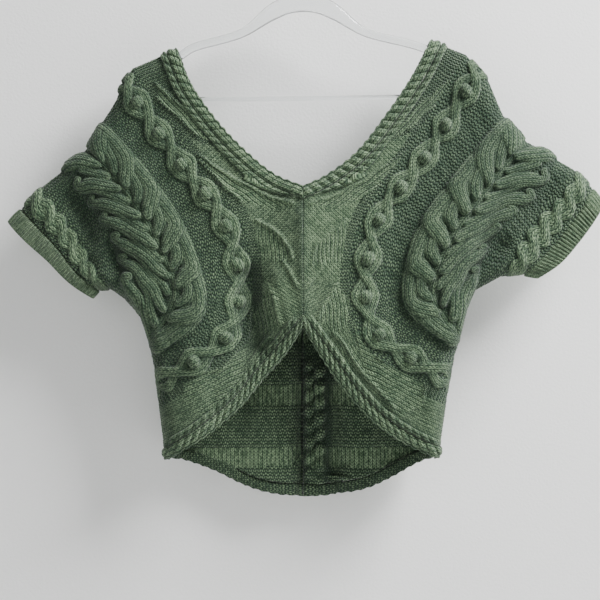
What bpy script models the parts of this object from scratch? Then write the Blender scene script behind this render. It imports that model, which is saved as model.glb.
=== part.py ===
"""Cropped cable-knit sweater with deep V necks and short dolman sleeves, on a clear hanger.

The garment hangs as worn cloth does on a hanger: each front and back half is a knitted wall, with
its cables and bobbles raised on the outer face over a plain inside. Left and right are those of
someone who looks at the front.

Sizes are millimetres until a mesh is made. x runs from the centre seam towards the side, and drop
is the distance below the point where the hook bears, which is the origin. In the finished mesh +X
is to the right, +Y points to the back and +Z up.
"""
import math

import bmesh
import bpy
import numpy as np

MM = 0.001

# Cloth
WALL = 4.2                # chunky knit between its cables
SEAM_GAP = 0.3            # between two pieces at a seam
INSIDE_GAP = 1.0          # the same seam on the plain inside, where the steps are longer
BAND_WIDTH = 15.0         # braided trim at neck and hem
CUFF_REACH, FIELD_REACH = 24.0, 60.0     # least widths of the stretches next to a seam gap
SHOULDER_ROLL = 24.0      # how far the shoulder fold takes to turn flat
SIDE_ROLL = 28.0          # the same at the side seam

# Half depth of the hung garment, from its middle plane to the outer face
SHOULDER_DEPTH = 14.0
BODY_DEPTH = 33.0
BODY_FROM, BODY_TO = 170.0, 430.0        # drops between which the body fills out
SLEEVE_FROM, SLEEVE_TO = 200.0, 330.0    # distances from the centre over which the sleeve flattens
SLEEVE_DEPTH = 17.0

# Rows in one repeat of each cable, and how far each pattern stands up
BOBBLE_ROWS, WHEAT_ROWS, ROPE_ROWS = 4.0, 6.5, 8.0
FIRST_BOBBLE_ROW = 5.0
SEAM_TAPER_ROWS, SEAM_RISE = 4.0, 0.2    # the cables sink into the side seam
BOBBLE_RISE, STRAND_RISE, WHEAT_RISE, ROPE_RISE = 8.0, 5.6, 6.0, 4.6
RIB_RISE, BRAID_RISE = 1.5, 3.4

# Rows of the knit walls: fixed steps next to the shoulder and the side, even steps between them
END_STEPS = (0.0, 3.5, 8.5, 15.0, 24.0)
ROWS = 44

# Guide lines along the wales, from the cuff in towards the centre. Each column is a station along
# the line, as (distance from the centre seam, drop).
RIGHT_WALES = (
    # line          shoulder    upper       middle      lower       side
    ("cuff_edge", (396, 343), (379, 371), (359, 398), (337, 423), (310, 442)),
    ("cuff_groove", (381, 323), (362, 355), (340, 384), (316, 412), (290, 438)),
    ("rope_in", (356, 298), (331, 333), (300, 363), (275, 398), (261, 440)),
    ("wheat_out", (334, 285), (310, 331), (269, 365), (239, 408), (226, 459)),
    ("lobe_out", (314, 275), (275, 326), (231, 373), (199, 428), (213, 487)),
    ("spine", (289, 263), (240, 326), (194, 391), (167, 467), (205, 524)),
    ("wheat_in", (264, 228), (200, 303), (145, 383), (131, 477), (201, 540)),
    ("bob_out", (246, 185), (176, 280), (107, 375), (107, 489), (197, 560)),
    ("bobbles", (232, 166), (165, 276), (92, 381), (91, 505), (193, 577)),
    ("bob_in", (215, 148), (141, 267), (67, 385), (75, 522), (190, 597)),
)
LEFT_WALES = (
    ("cuff_edge", (389, 368), (363, 395), (335, 420), (308, 447), (277, 469)),
    ("cuff_groove", (371, 350), (345, 377), (320, 404), (297, 434), (268, 459)),
    ("rope_in", (341, 319), (315, 350), (292, 383), (272, 419), (253, 457)),
    ("wheat_out", (318, 301), (289, 337), (260, 377), (242, 422), (235, 470)),
    ("lobe_out", (298, 285), (260, 330), (224, 380), (204, 437), (211, 495)),
    ("spine", (281, 273), (229, 330), (189, 397), (163, 469), (201, 531)),
    ("wheat_in", (263, 234), (197, 309), (145, 393), (127, 489), (198, 550)),
    ("bob_out", (246, 207), (180, 297), (119, 391), (114, 495), (195, 568)),
    ("bobbles", (238, 183), (165, 285), (95, 388), (94, 509), (193, 583)),
    ("bob_in", (225, 166), (145, 278), (72, 392), (83, 524), (191, 601)),
)

# Cut edges, from the shoulder to the centre and from the centre to the side
RIGHT_NECK = ((168, 129), (143, 177), (110, 226), (71, 276), (32, 307), (0, 323))
LEFT_NECK = ((166, 140), (147, 187), (114, 234), (76, 275), (38, 306), (0, 323))
RIGHT_FRONT_HEM = ((0, 507), (24, 547), (53, 588), (90, 628), (131, 657), (178, 679))
LEFT_FRONT_HEM = ((0, 507), (22, 541), (52, 575), (84, 613), (127, 648), (181, 681))
RIGHT_BACK_HEM = ((0, 735), (40, 732), (80, 724), (118, 709), (150, 692), (178, 679))
LEFT_BACK_HEM = ((0, 735), (40, 730), (80, 718), (118, 700), (150, 688), (181, 681))

# Rows at which the inner edge turns from neck to centre seam and from centre seam to hem
FRONT_TURNS = (16, 28)
BACK_TURNS = (16, 34)

# Columns of each stretch between two guide lines: front, back
COLUMNS = (
    # from line     to line      front  back
    ("cuff_groove", "rope_in", 2, 2),
    ("rope_in", "wheat_out", 2, 2),
    ("wheat_out", "lobe_out", 2, 2),
    ("lobe_out", "spine", 2, 2),
    ("spine", "wheat_in", 4, 2),
    ("wheat_in", "bob_out", 2, 2),
    ("bob_out", "bobbles", 2, 2),
    ("bobbles", "bob_in", 2, 2),
    ("bob_in", "band_in", 6, 6),
)

# Largest folds of each face: signed x, positive rise is a ridge and negative a trough
FOLDS = (
    # face     from x  drop  to x  drop  half width  rise
    ("front", -70, 400, -62, 570, 34, -9.0),
    ("front", -30, 300, -58, 400, 30, -4.0),
    ("front", 0, 335, 0, 500, 30, 6.0),
    ("front", -142, 470, -140, 630, 34, 7.0),
    ("front", 60, 500, 112, 600, 34, 5.0),
    ("front", 128, 372, 124, 470, 30, -5.0),
    ("front", 205, 240, 150, 340, 30, -4.0),
    ("front", 243, 400, 215, 452, 22, -6.0),
    ("front", 158, 600, 150, 672, 26, -5.0),
    ("front", -288, 350, -246, 420, 22, -4.5),
    ("front", -262, 380, -256, 450, 20, 3.0),
    ("front", -205, 250, -150, 350, 30, -4.0),
    ("back", 60, 420, 46, 720, 34, -7.0),
    ("back", 0, 420, 0, 720, 34, 4.0),
    ("back", -48, 500, -60, 700, 34, 4.0),
    ("back", 120, 480, 130, 660, 34, 5.0),
    ("back", -128, 420, -118, 640, 34, -6.0),
    ("back", 200, 250, 150, 350, 34, -4.0),
    ("back", -215, 270, -150, 380, 34, -4.0),
    ("back", 262, 380, 246, 440, 22, -4.0),
    ("back", -290, 370, -262, 430, 22, -4.0),
)

# Travelling ribs and leaf borders of the front's centre, by distance from the centre seam
MOTIFS = (
    # motif            stations (x, drop)
    ("upper_rib", (214, 162), (181, 203), (128, 260)),
    ("lower_rib", (128, 284), (95, 313), (49, 346)),
    ("leaf_top", (55, 368), (20, 392), (9, 425)),
    ("leaf_side", (45, 356), (52, 410), (22, 452)),
    ("second_leaf", (42, 452), (32, 480), (20, 500)),
)
MOTIF_WIDTH, MOTIF_RISE = 11.0, 2.6

# Hanger: half of its centre line, from the crown out along the arm, round its tip and along the bar
HANGER_LINE = (
    # x    drop   height  depth
    (0, 79, 25, 10),
    (20, 81, 25, 10),
    (36, 88, 24, 10),
    (50, 97, 20, 10),
    (64, 108, 15, 9.5),
    (82, 119, 12.5, 9),
    (110, 127, 12, 9),
    (140, 134, 12, 9),
    (164, 140.4, 11, 9),
    (180, 145.5, 10, 9),
    (196, 151, 10, 9),
    (209, 161, 10, 8.5),
    (211, 177, 9, 8),
    (202, 191, 8, 7.5),
    (186, 200, 7, 7),
    (160, 204, 6.5, 7),
    (80, 205, 6.5, 7),
)
HANGER_TILT = 0.012       # the left arm hangs lower
TIP_DROP = 178.0          # below this the hanger's tip turns back to the bar
ARM_FROM = 148.0          # distance from the centre at which the cloth comes to lie on the arm
ARM_CLEARANCE = 1.3       # between the arm's top and the inside of the shoulder fold
HANGER_SIDES = 10
HOOK_WIRE = 3.8           # diameter
HOOK_BEND = 21.0          # radius of the wire's centre line
HOOK_TIP_ANGLE, HOOK_NECK_ANGLE = 200.0, -52.0

# Colours and surfaces: base colour, roughness, metallic
WOOL = ((0.125, 0.165, 0.105), 0.92, 0.0)
CLEAR = ((0.86, 0.88, 0.88), 0.12, 0.0)
STEEL = ((0.30, 0.30, 0.31), 0.35, 0.9)


def smooth(value, low, high):
    """0 below low, 1 above high, and an even S curve between them."""
    share = np.clip((np.asarray(value, float) - low) / (high - low), 0.0, 1.0)
    return share * share * (3.0 - 2.0 * share)


def curve_through(points, shares):
    """Points at the given shares, 0 to 1, of a smooth curve through evenly spaced stations."""
    stations = np.array(points, float)
    stations = np.vstack([2 * stations[0] - stations[1], stations, 2 * stations[-1] - stations[-2]])
    place = np.clip(np.asarray(shares, float), 0.0, 1.0) * (len(points) - 1)
    step = np.minimum(place.astype(int), len(points) - 2)
    t = (place - step)[..., None]
    before, start, end, after = (stations[step + offset] for offset in range(4))
    bend = (2 * before - 5 * start + 4 * end - after) * t * t
    turn = (3 * start - before - 3 * end + after) * t ** 3
    return 0.5 * (2 * start + (end - before) * t + bend + turn)


def curve_length(points):
    """Length of the smooth curve through the stations."""
    line = curve_through(points, np.linspace(0.0, 1.0, 121))
    return float(np.hypot(*np.diff(line, axis=0).T).sum())


def along(points, distances):
    """Points at distances along the smooth curve through the stations."""
    shares = np.linspace(0.0, 1.0, 241)
    line = curve_through(points, shares)
    lengths = np.concatenate([[0.0], np.cumsum(np.hypot(*np.diff(line, axis=0).T))])
    return curve_through(points, np.interp(distances, lengths, shares))


def row_distances(length, rows):
    """Distances of the rows along a wale line: fixed steps at both ends, even ones between."""
    ends = len(END_STEPS) - 1
    steps = np.array(END_STEPS) * min(1.0, length / 140.0)
    table = np.concatenate([
        steps[:-1],
        np.linspace(steps[-1], length - steps[-1], ROWS - 2 * ends + 1),
        length - steps[-2::-1],
    ])
    return np.interp(rows, np.arange(ROWS + 1), table)


def edge_distances(lengths, turns, rows):
    """Distances of the rows along an inner edge that turns at two given rows."""
    ends = len(END_STEPS) - 1
    steps = np.array(END_STEPS)
    neck, seam, hem = lengths
    table = np.concatenate([
        steps[:-1],
        np.linspace(steps[-1], neck, turns[0] - ends + 1)[:-1],
        neck + np.linspace(0.0, seam, turns[1] - turns[0] + 1)[:-1],
        neck + seam + np.linspace(0.0, hem - steps[-1], ROWS - turns[1] - ends + 1),
        neck + seam + hem - steps[-2::-1],
    ])
    return np.interp(rows, np.arange(ROWS + 1), table)


def inset(points, width, start_way, end_way):
    """Stations of a cut edge moved into the cloth, with fixed directions at its two ends."""
    stations = np.array(points, float)
    run = np.gradient(stations, axis=0)
    across = np.stack([run[:, 1], -run[:, 0]], axis=1)
    across /= np.linalg.norm(across, axis=1)[:, None]
    across[0], across[-1] = start_way, end_way
    return stations + width * across


class Half:
    """One half of a face: its guide lines, and the outer surface that they give."""

    def __init__(self, face, side):
        right = side == "right"
        self.face = face
        self.sign = 1.0 if right else -1.0
        self.facing = -1.0 if face == "front" else 1.0
        wales = RIGHT_WALES if right else LEFT_WALES
        self.names = [row[0] for row in wales] + ["band_in", "edge"]
        self.wales = [row[1:] for row in wales]
        neck = RIGHT_NECK if right else LEFT_NECK
        hems = {
            ("front", True): RIGHT_FRONT_HEM, ("front", False): LEFT_FRONT_HEM,
            ("back", True): RIGHT_BACK_HEM, ("back", False): LEFT_BACK_HEM,
        }
        hem = hems[face, right]
        shoulder_way = (np.array(self.wales[-1][0]) - neck[0])
        shoulder_way = shoulder_way / np.linalg.norm(shoulder_way)
        side_way = np.array(self.wales[-1][-1]) - hem[-1]
        side_way = side_way / np.linalg.norm(side_way)
        self.neck, self.hem = neck, hem
        self.neck_in = inset(neck, BAND_WIDTH, shoulder_way, (0.0, 1.15))
        self.hem_in = inset(hem, BAND_WIDTH, (0.0, -1.15), side_way)
        self.turns = FRONT_TURNS if face == "front" else BACK_TURNS

    def edge_points(self, neck, hem, rows):
        """Points, and distances from both ends, along the neck, the centre seam and the hem."""
        seam_top, seam_end = np.array(neck[-1], float), np.array(hem[0], float)
        lengths = (curve_length(neck), float(seam_end[1] - seam_top[1]), curve_length(hem))
        distance = edge_distances(lengths, self.turns, rows)
        points = np.where(
            (distance < lengths[0])[..., None],
            along(neck, distance),
            along(hem, distance - lengths[0] - lengths[1]),
        )
        on_seam = (distance >= lengths[0]) & (distance <= lengths[0] + lengths[1])
        share = ((distance - lengths[0]) / lengths[1])[..., None]
        points = np.where(on_seam[..., None], seam_top + share * (seam_end - seam_top), points)
        return points, distance, sum(lengths) - distance

    def line_points(self, line, rows):
        """The same for guide line number line."""
        if line == len(self.wales):
            return self.edge_points(self.neck_in, self.hem_in, rows)
        if line == len(self.wales) + 1:
            return self.edge_points(self.neck, self.hem, rows)
        length = curve_length(self.wales[line])
        distance = row_distances(length, rows)
        return along(self.wales[line], distance), distance, length - distance

    def plane_points(self, column, rows):
        """Points and end distances at a column, which is a line number with a fraction."""
        line = min(int(column), len(self.names) - 2)
        share = column - line
        low, high = self.line_points(line, rows), self.line_points(line + 1, rows)
        return tuple(a + share * (b - a) for a, b in zip(low, high))

    def depth(self, points, from_shoulder, from_side):
        """Half depth of the plain outer face at points of the plane."""
        x, drop = points[..., 0], points[..., 1]
        fill = SHOULDER_DEPTH + (BODY_DEPTH - SHOULDER_DEPTH) * smooth(drop, BODY_FROM, BODY_TO)
        flat = smooth(x, SLEEVE_FROM, SLEEVE_TO)
        fill = fill + (SLEEVE_DEPTH - fill) * flat
        fill = fill + self.fold(points)
        roll_top = np.sqrt(1.0 - (1.0 - np.clip(from_shoulder / SHOULDER_ROLL, 0.0, 1.0)) ** 2)
        roll_side = np.sqrt(1.0 - (1.0 - np.clip(from_side / SIDE_ROLL, 0.0, 1.0)) ** 2)
        return fill * roll_top * roll_side

    def fold(self, points):
        """Rise of the folds at points of the plane."""
        spot = points * np.array([self.sign, 1.0])
        rise = np.zeros(points.shape[:-1])
        for face, start_x, start_drop, end_x, end_drop, width, height in FOLDS:
            if face != self.face:
                continue
            rise = rise + height * ridge(spot, ((start_x, start_drop), (end_x, end_drop)), width)
        return rise

    def surface(self, columns, rows):
        """Plain outer points, outward normals and plane points of a grid."""
        rows = np.asarray(rows, float)
        grid = []
        for column in columns:
            grid.append(self.sample(column, rows))
        return tuple(np.stack(part) for part in zip(*grid))

    def sample(self, column, rows):
        """One column of the surface."""
        nudge_column, nudge_row = 0.03, 0.08
        points, top, side = self.plane_points(column, rows)
        low = self.plane_points(max(column - nudge_column, 0.0), rows)
        high = self.plane_points(min(column + nudge_column, len(self.names) - 1.0), rows)
        before = self.plane_points(column, np.clip(rows - nudge_row, 0, ROWS))
        after = self.plane_points(column, np.clip(rows + nudge_row, 0, ROWS))
        depth = self.depth(points, top, side)
        across, down = high[0] - low[0], after[0] - before[0]
        rise_across = self.depth(*high) - self.depth(*low)
        rise_down = self.depth(*after) - self.depth(*before)
        area = across[:, 0] * down[:, 1] - across[:, 1] * down[:, 0]
        slope_x = (rise_across * down[:, 1] - rise_down * across[:, 1]) / area
        slope_drop = (rise_down * across[:, 0] - rise_across * down[:, 0]) / area
        normal = np.stack([-slope_x, np.ones_like(area), -slope_drop], axis=1)
        ends = np.array([0, len(rows) - 1])
        ends = ends[(rows[ends] == 0) | (rows[ends] == ROWS)]
        way = down / np.linalg.norm(down, axis=1)[:, None]
        for end in ends:
            turn = -1.0 if rows[end] == 0 else 1.0
            normal[end] = (turn * way[end, 0], 0.0, turn * way[end, 1])
        normal /= np.linalg.norm(normal, axis=1)[:, None]
        normal *= np.array([self.sign, self.facing, -1.0])
        outer_y = self.facing * (SEAM_GAP / 2 + depth)
        placed_x = self.sign * np.maximum(points[:, 0], SEAM_GAP / 2)
        placed = np.stack([placed_x, outer_y, -points[:, 1]], axis=1)
        return placed, normal, points

    def column_of(self, name):
        """Number of the guide line with this name."""
        return self.names.index(name)


def ridge(spots, line, width):
    """Height, 0 to 1, of a soft ridge of given half width along a short line of stations."""
    nearest = np.full(spots.shape[:-1], np.inf)
    for start, end in zip(line[:-1], line[1:]):
        start, run = np.array(start, float), np.array(end, float) - np.array(start, float)
        share = np.clip(((spots - start) @ run) / (run @ run), 0.0, 1.0)
        gap = np.linalg.norm(spots - start - share[..., None] * run, axis=-1)
        nearest = np.minimum(nearest, gap)
    return np.exp(-(nearest / width) ** 2)


def rope_relief(across, rows):
    """Two strands twisted round each other: across is -1 to 1 over the cable."""
    turn = np.cos(2 * math.pi * (rows / ROPE_ROWS + 0.3 * across))
    return ROPE_RISE * np.cos(across * math.pi / 2) ** 0.7 * (0.75 + 0.25 * turn)


def wheat_relief(across, rows):
    """Paired lobes that curl in towards the spine as they go down."""
    lobe = 0.5 + 0.5 * np.cos(2 * math.pi * (rows / WHEAT_ROWS + 0.7 * np.abs(across)))
    body = np.clip(1.0 - np.abs(across) ** 4, 0.0, 1.0)
    return WHEAT_RISE * body * (0.3 + 0.7 * lobe)


def bobble_relief(across, rows):
    """Two strands that part round each bobble and cross between them."""
    turn = 2 * math.pi * (rows - FIRST_BOBBLE_ROW) / BOBBLE_ROWS
    strand = 0.56 * np.abs(np.cos(turn / 2))
    ring = STRAND_RISE * np.exp(-((np.abs(across) - strand) / 0.34) ** 2)
    bobble = BOBBLE_RISE * np.exp(-(across / 0.3) ** 2) * np.clip(np.cos(turn), 0.0, 1.0) ** 2
    return np.maximum(ring, bobble) * np.clip(1.6 * (1.0 - np.abs(across)), 0.0, 1.0)


def cable_relief(half, column, rows, spot):
    """How far the outer face stands up at a column of a half."""
    line = half.column_of
    if line("cuff_groove") < column < line("rope_in"):
        across = 2.0 * (column - line("cuff_groove")) - 1.0
        return rope_relief(across, rows)
    if line("wheat_out") < column < line("wheat_in"):
        out = column < line("spine")
        reach = line("spine") - line("wheat_out") if out else line("wheat_in") - line("spine")
        return wheat_relief(np.array((column - line("spine")) / reach), rows)
    if line("bob_out") < column < line("bob_in"):
        return bobble_relief(np.array(column - line("bobbles"), float), rows)
    if line("bob_in") < column < line("band_in") and half.face == "front":
        rise = [MOTIF_RISE * ridge(spot, motif[1:], MOTIF_WIDTH) for motif in MOTIFS]
        return np.max(rise, axis=0)
    return np.zeros(len(rows))


def add_object(name, mesh_data, finish):
    """Object of one closed body from bmesh data in millimetres, with its own material."""
    bmesh.ops.scale(mesh_data, vec=(MM, MM, MM), verts=mesh_data.verts)
    bmesh.ops.recalc_face_normals(mesh_data, faces=mesh_data.faces)
    mesh = bpy.data.meshes.new(name)
    mesh_data.to_mesh(mesh)
    mesh_data.free()
    mesh.shade_smooth()
    colour, roughness, metallic = finish
    material = bpy.data.materials.new(name)
    material.use_nodes = True
    shader = material.node_tree.nodes["Principled BSDF"]
    shader.inputs["Base Color"].default_value = (*colour, 1.0)
    shader.inputs["Roughness"].default_value = roughness
    shader.inputs["Metallic"].default_value = metallic
    material.diffuse_color = (*colour, 1.0)
    mesh.materials.append(material)
    placed = bpy.data.objects.new(name, mesh)
    bpy.context.scene.collection.objects.link(placed)
    return placed


def grid_vertices(mesh_data, points):
    """Vertices of a grid of points, kept in the grid's order."""
    return [[mesh_data.verts.new(point) for point in line] for line in points]


def grid_faces(mesh_data, grid):
    """Two triangles in each cell of a grid of vertices."""
    for low, high in zip(grid[:-1], grid[1:]):
        for step in range(len(low) - 1):
            mesh_data.faces.new((low[step], high[step], high[step + 1]))
            mesh_data.faces.new((low[step], high[step + 1], low[step + 1]))


def rim_faces(mesh_data, fine, coarse):
    """Close a rim between a fine line of vertices and a coarse one with half its steps."""
    for step in range(len(coarse) - 1):
        first, middle, last = fine[2 * step:2 * step + 3]
        mesh_data.faces.new((first, middle, coarse[step]))
        mesh_data.faces.new((middle, coarse[step + 1], coarse[step]))
        mesh_data.faces.new((middle, last, coarse[step + 1]))


def wall(name, outer, inner, finish=WOOL):
    """Closed wall between a fine outer grid and an inner grid with half its steps both ways."""
    mesh_data = bmesh.new()
    skin = grid_vertices(mesh_data, outer)
    lining = grid_vertices(mesh_data, inner)
    grid_faces(mesh_data, skin)
    grid_faces(mesh_data, lining)
    rim_faces(mesh_data, skin[0], lining[0])
    rim_faces(mesh_data, skin[-1], lining[-1])
    rim_faces(mesh_data, [line[0] for line in skin], [line[0] for line in lining])
    rim_faces(mesh_data, [line[-1] for line in skin], [line[-1] for line in lining])
    return add_object(name, mesh_data, finish)


def panel_columns(half):
    """Columns of a half's wall, with the seam gap left at the cuff and at the bands."""
    pick = 2 if half.face == "front" else 3
    columns = [float(half.column_of("cuff_groove"))]
    for row in COLUMNS:
        start, count = half.column_of(row[0]), row[pick]
        columns += [start + (step + 1) / count for step in range(count)]
    columns[0] += SEAM_GAP / 2 / CUFF_REACH
    columns[-1] -= SEAM_GAP / 2 / FIELD_REACH
    return columns


def build_panel(face, side):
    """One front or back half with its share of the sleeve."""
    half = Half(face, side)
    columns = panel_columns(half)
    rows = np.arange(ROWS + 1)
    base, normal, spots = half.surface(columns, rows)
    rise = np.stack([
        cable_relief(half, column, rows, spots[number])
        for number, column in enumerate(columns)
    ])
    rise *= np.clip((ROWS - rows) / SEAM_TAPER_ROWS, SEAM_RISE, 1.0)
    outer = base + normal * rise[..., None]
    inner_columns = columns[::2]
    inner_columns[-1] -= INSIDE_GAP / FIELD_REACH
    base, normal, spots = half.surface(inner_columns, rows)
    thick = WALL + 0.3 * np.clip(-half.fold(spots), 0.0, None)
    inner = (base - normal * thick[..., None])[:, ::2]
    inner[..., 0] = half.sign * np.maximum(half.sign * inner[..., 0], SEAM_GAP / 2)
    outer[..., 0] = half.sign * np.maximum(half.sign * outer[..., 0], SEAM_GAP / 2)
    return wall(f"{face}_{side}", outer, inner)


def halfway_rows(grid):
    """The grid with a row added in the middle of each step."""
    middle = (grid[:, 1:] + grid[:, :-1]) / 2
    dense = np.empty((grid.shape[0], grid.shape[1] + middle.shape[1], *grid.shape[2:]))
    dense[:, 0::2], dense[:, 1::2] = grid, middle
    return dense


def build_band(face, side, edge):
    """Braided trim along the neck or the hem of one half: two rows of lumps on a plain back."""
    half = Half(face, side)
    inner_line, outer_line = float(half.column_of("band_in")), float(half.column_of("edge"))
    gap = SEAM_GAP / BAND_WIDTH / 2
    columns = [inner_line + gap, inner_line + 0.27, inner_line + 0.5, inner_line + 0.75, outer_line]
    first, last = (0, half.turns[0]) if edge == "neck" else (half.turns[1], ROWS)
    base, normal, _ = half.surface(columns, np.arange(first, last + 1))
    base, normal = halfway_rows(base), halfway_rows(normal)
    lump = np.arange(base.shape[1]) % 2
    rise = np.zeros(base.shape[:2])
    rise[1] = BRAID_RISE * (0.55 + 0.45 * lump)
    rise[2] = 0.35 * BRAID_RISE
    rise[3] = BRAID_RISE * (1.0 - 0.45 * lump)
    outer = base + normal * rise[..., None]
    inner_columns = [inner_line + INSIDE_GAP / BAND_WIDTH, columns[2], outer_line]
    base, normal, _ = half.surface(inner_columns, np.arange(first, last + 1))
    inner = base - normal * WALL
    for points in (outer, inner):
        points[..., 0] = half.sign * np.maximum(half.sign * points[..., 0], SEAM_GAP / 2)
    return wall(f"{edge}_band_{face}_{side}", outer, inner)


def build_cuff(side):
    """Ribbed tube round the sleeve end, with its ribs across the edge."""
    halves = [Half("front", side), Half("back", side)]
    start, end = 0.0, 1.0 - SEAM_GAP / 2 / CUFF_REACH
    columns = [start, (start + end) / 2, end]
    outer, inner = [], []
    for half, rows in zip(halves, (np.arange(0, ROWS), np.arange(ROWS, 0, -1))):
        base, normal, _ = half.surface(columns, np.arange(ROWS + 1))
        base[:, (0, -1), 1], normal[:, (0, -1), 1] = 0.0, 0.0
        rib = RIB_RISE * (np.arange(ROWS + 1) % 2)
        swell = np.array([0.4, 1.0, 0.2])[:, None]
        outer.append((base + normal * (rib * swell)[..., None])[:, rows])
        inner.append((base - normal * WALL)[::2, rows[::2]])
    rings = np.concatenate(outer, axis=1), np.concatenate(inner, axis=1)
    mesh_data = bmesh.new()
    skin, lining = (grid_vertices(mesh_data, ring) for ring in rings)
    skin = [line + line[:1] for line in skin]
    lining = [line + line[:1] for line in lining]
    grid_faces(mesh_data, skin)
    grid_faces(mesh_data, lining)
    rim_faces(mesh_data, skin[0], lining[0])
    rim_faces(mesh_data, skin[-1], lining[-1])
    return add_object(f"cuff_{side}", mesh_data, WOOL)


def swept(name, centres, heights, depths, finish, sides, closed):
    """Tube of elliptical sections along a line in the plane of the hanger."""
    centres = np.array(centres, float)
    if closed:
        run = np.roll(centres, -1, axis=0) - np.roll(centres, 1, axis=0)
    else:
        run = np.gradient(centres, axis=0)
    run /= np.linalg.norm(run, axis=1)[:, None]
    across = np.stack([-run[:, 1], run[:, 0]], axis=1)
    mesh_data = bmesh.new()
    rings = []
    for centre, side_way, height, depth in zip(centres, across, heights, depths):
        ring = []
        for number in range(sides):
            angle = 2 * math.pi * (number + 0.5) / sides
            reach = math.cos(angle) * height / 2
            x, drop = centre + reach * side_way
            ring.append(mesh_data.verts.new((x, math.sin(angle) * depth / 2, -drop)))
        rings.append(ring)
    pairs = list(zip(rings[:-1], rings[1:]))
    if closed:
        pairs.append((rings[-1], rings[0]))
    for low, high in pairs:
        for number in range(sides):
            after = (number + 1) % sides
            mesh_data.faces.new((low[number], low[after], high[after], high[number]))
    if not closed:
        mesh_data.faces.new(rings[0])
        mesh_data.faces.new(rings[-1])
    return add_object(name, mesh_data, finish)


def seat_arm(loop, side):
    """Lower an arm's stations to just under the shoulder fold of one side."""
    half = Half("front", side)
    stations = np.arange(half.column_of("wheat_in"), half.column_of("edge") + 0.01, 0.25)
    fold = np.array([half.plane_points(min(column, 11.0), np.zeros(1))[0][0] for column in stations])
    fold = fold[np.argsort(fold[:, 0])]
    steep = np.hypot(1.0, np.gradient(fold[:, 1], fold[:, 0]))
    tip = max(HANGER_LINE)[0]
    for station in loop:
        out = station[0] * half.sign
        if not ARM_FROM < out < tip or station[1] > TIP_DROP:
            continue
        under = np.interp(out, fold[:, 0], fold[:, 1])
        under += (WALL + ARM_CLEARANCE + station[2] / 2) * np.interp(out, fold[:, 0], steep)
        share = float(smooth(out, ARM_FROM, ARM_FROM + 16.0))
        station[1] += share * max(0.0, under - station[1])


def build_hanger():
    """Clear hanger in one moulding: crown, arms, tips and bar in a closed loop."""
    half_line = curve_through(HANGER_LINE, np.linspace(0.0, 1.0, 29))
    left = half_line[:0:-1] * np.array([-1.0, 1.0, 1.0, 1.0])
    loop = np.vstack([half_line, left])
    loop[:, 1] -= HANGER_TILT * loop[:, 0]
    for side in ("left", "right"):
        seat_arm(loop, side)
    return swept("hanger", loop[:, :2], loop[:, 2], loop[:, 3], CLEAR, HANGER_SIDES, True)


def build_hook():
    """Steel wire hook, whose inside top is the origin, on a straight shank."""
    centre_drop = HOOK_BEND - HOOK_WIRE / 2
    angles = np.radians(np.linspace(HOOK_TIP_ANGLE, HOOK_NECK_ANGLE, 22))
    bend = [(HOOK_BEND * math.cos(a), centre_drop - HOOK_BEND * math.sin(a)) for a in angles]
    crown_top = HANGER_LINE[0][1] - HANGER_LINE[0][2] / 2 - SEAM_GAP
    last = np.array(bend[-1])
    way = np.array([math.sin(angles[-1]), math.cos(angles[-1])])
    neck_end = np.array([0.0, crown_top - 8.0])
    reach = 0.45 * np.linalg.norm(neck_end - last)
    handle_out, handle_in = last + reach * way, neck_end - np.array([0.0, reach])
    neck = []
    for share in np.linspace(0.0, 1.0, 8)[1:]:
        rest = 1.0 - share
        neck.append(rest ** 3 * last + 3 * rest ** 2 * share * handle_out
                    + 3 * rest * share ** 2 * handle_in + share ** 3 * neck_end)
    line = np.vstack([bend, neck, [(0.0, crown_top)]])
    sizes = np.full(len(line), HOOK_WIRE)
    return swept("hook", line, sizes, sizes, STEEL, 8, False)


def main():
    """Clear the scene and build every piece."""
    for old in list(bpy.data.objects):
        bpy.data.objects.remove(old, do_unlink=True)
    for face in ("front", "back"):
        for side in ("left", "right"):
            build_panel(face, side)
            build_band(face, side, "neck")
            build_band(face, side, "hem")
    for side in ("left", "right"):
        build_cuff(side)
    build_hanger()
    build_hook()


main()
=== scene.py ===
"""Dresses the cropped cable-knit sweater on its clear hanger and sets it before a pale wall.

The knitted walls, cuffs and trims are modelled as closed shells on the forms of the part's own
solids, with their cables, bobbles, ribs, creases and single stitches. Sizes are millimetres until
a mesh is made. x runs from the centre seam towards the side, and drop is the distance below the
point where the hook bears, which is the origin. Left and right are those of someone who looks at
the front.
"""
from __future__ import annotations

import logging
import math
from dataclasses import dataclass, field
from enum import Enum

import bpy
import numpy as np
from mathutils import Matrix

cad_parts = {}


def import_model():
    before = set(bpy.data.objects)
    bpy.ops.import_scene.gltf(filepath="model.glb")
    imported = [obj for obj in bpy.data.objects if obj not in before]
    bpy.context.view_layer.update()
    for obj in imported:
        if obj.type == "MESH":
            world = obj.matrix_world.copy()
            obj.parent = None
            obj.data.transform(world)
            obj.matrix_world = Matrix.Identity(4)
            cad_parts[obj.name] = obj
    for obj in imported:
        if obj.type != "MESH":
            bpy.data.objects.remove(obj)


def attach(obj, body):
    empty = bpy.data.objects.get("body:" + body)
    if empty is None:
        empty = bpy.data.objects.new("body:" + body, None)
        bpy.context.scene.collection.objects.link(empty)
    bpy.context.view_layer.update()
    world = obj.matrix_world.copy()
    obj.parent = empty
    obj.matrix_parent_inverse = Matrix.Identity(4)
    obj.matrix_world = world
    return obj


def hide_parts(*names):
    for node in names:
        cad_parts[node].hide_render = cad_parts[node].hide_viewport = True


Array = np.ndarray
Socket = bpy.types.NodeSocket

MM = 0.001
LOG = logging.getLogger("sweater")


class Face(Enum):
    """Front or back of the garment, with the way that its outer side looks along y."""

    FRONT = -1.0
    BACK = 1.0


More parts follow.
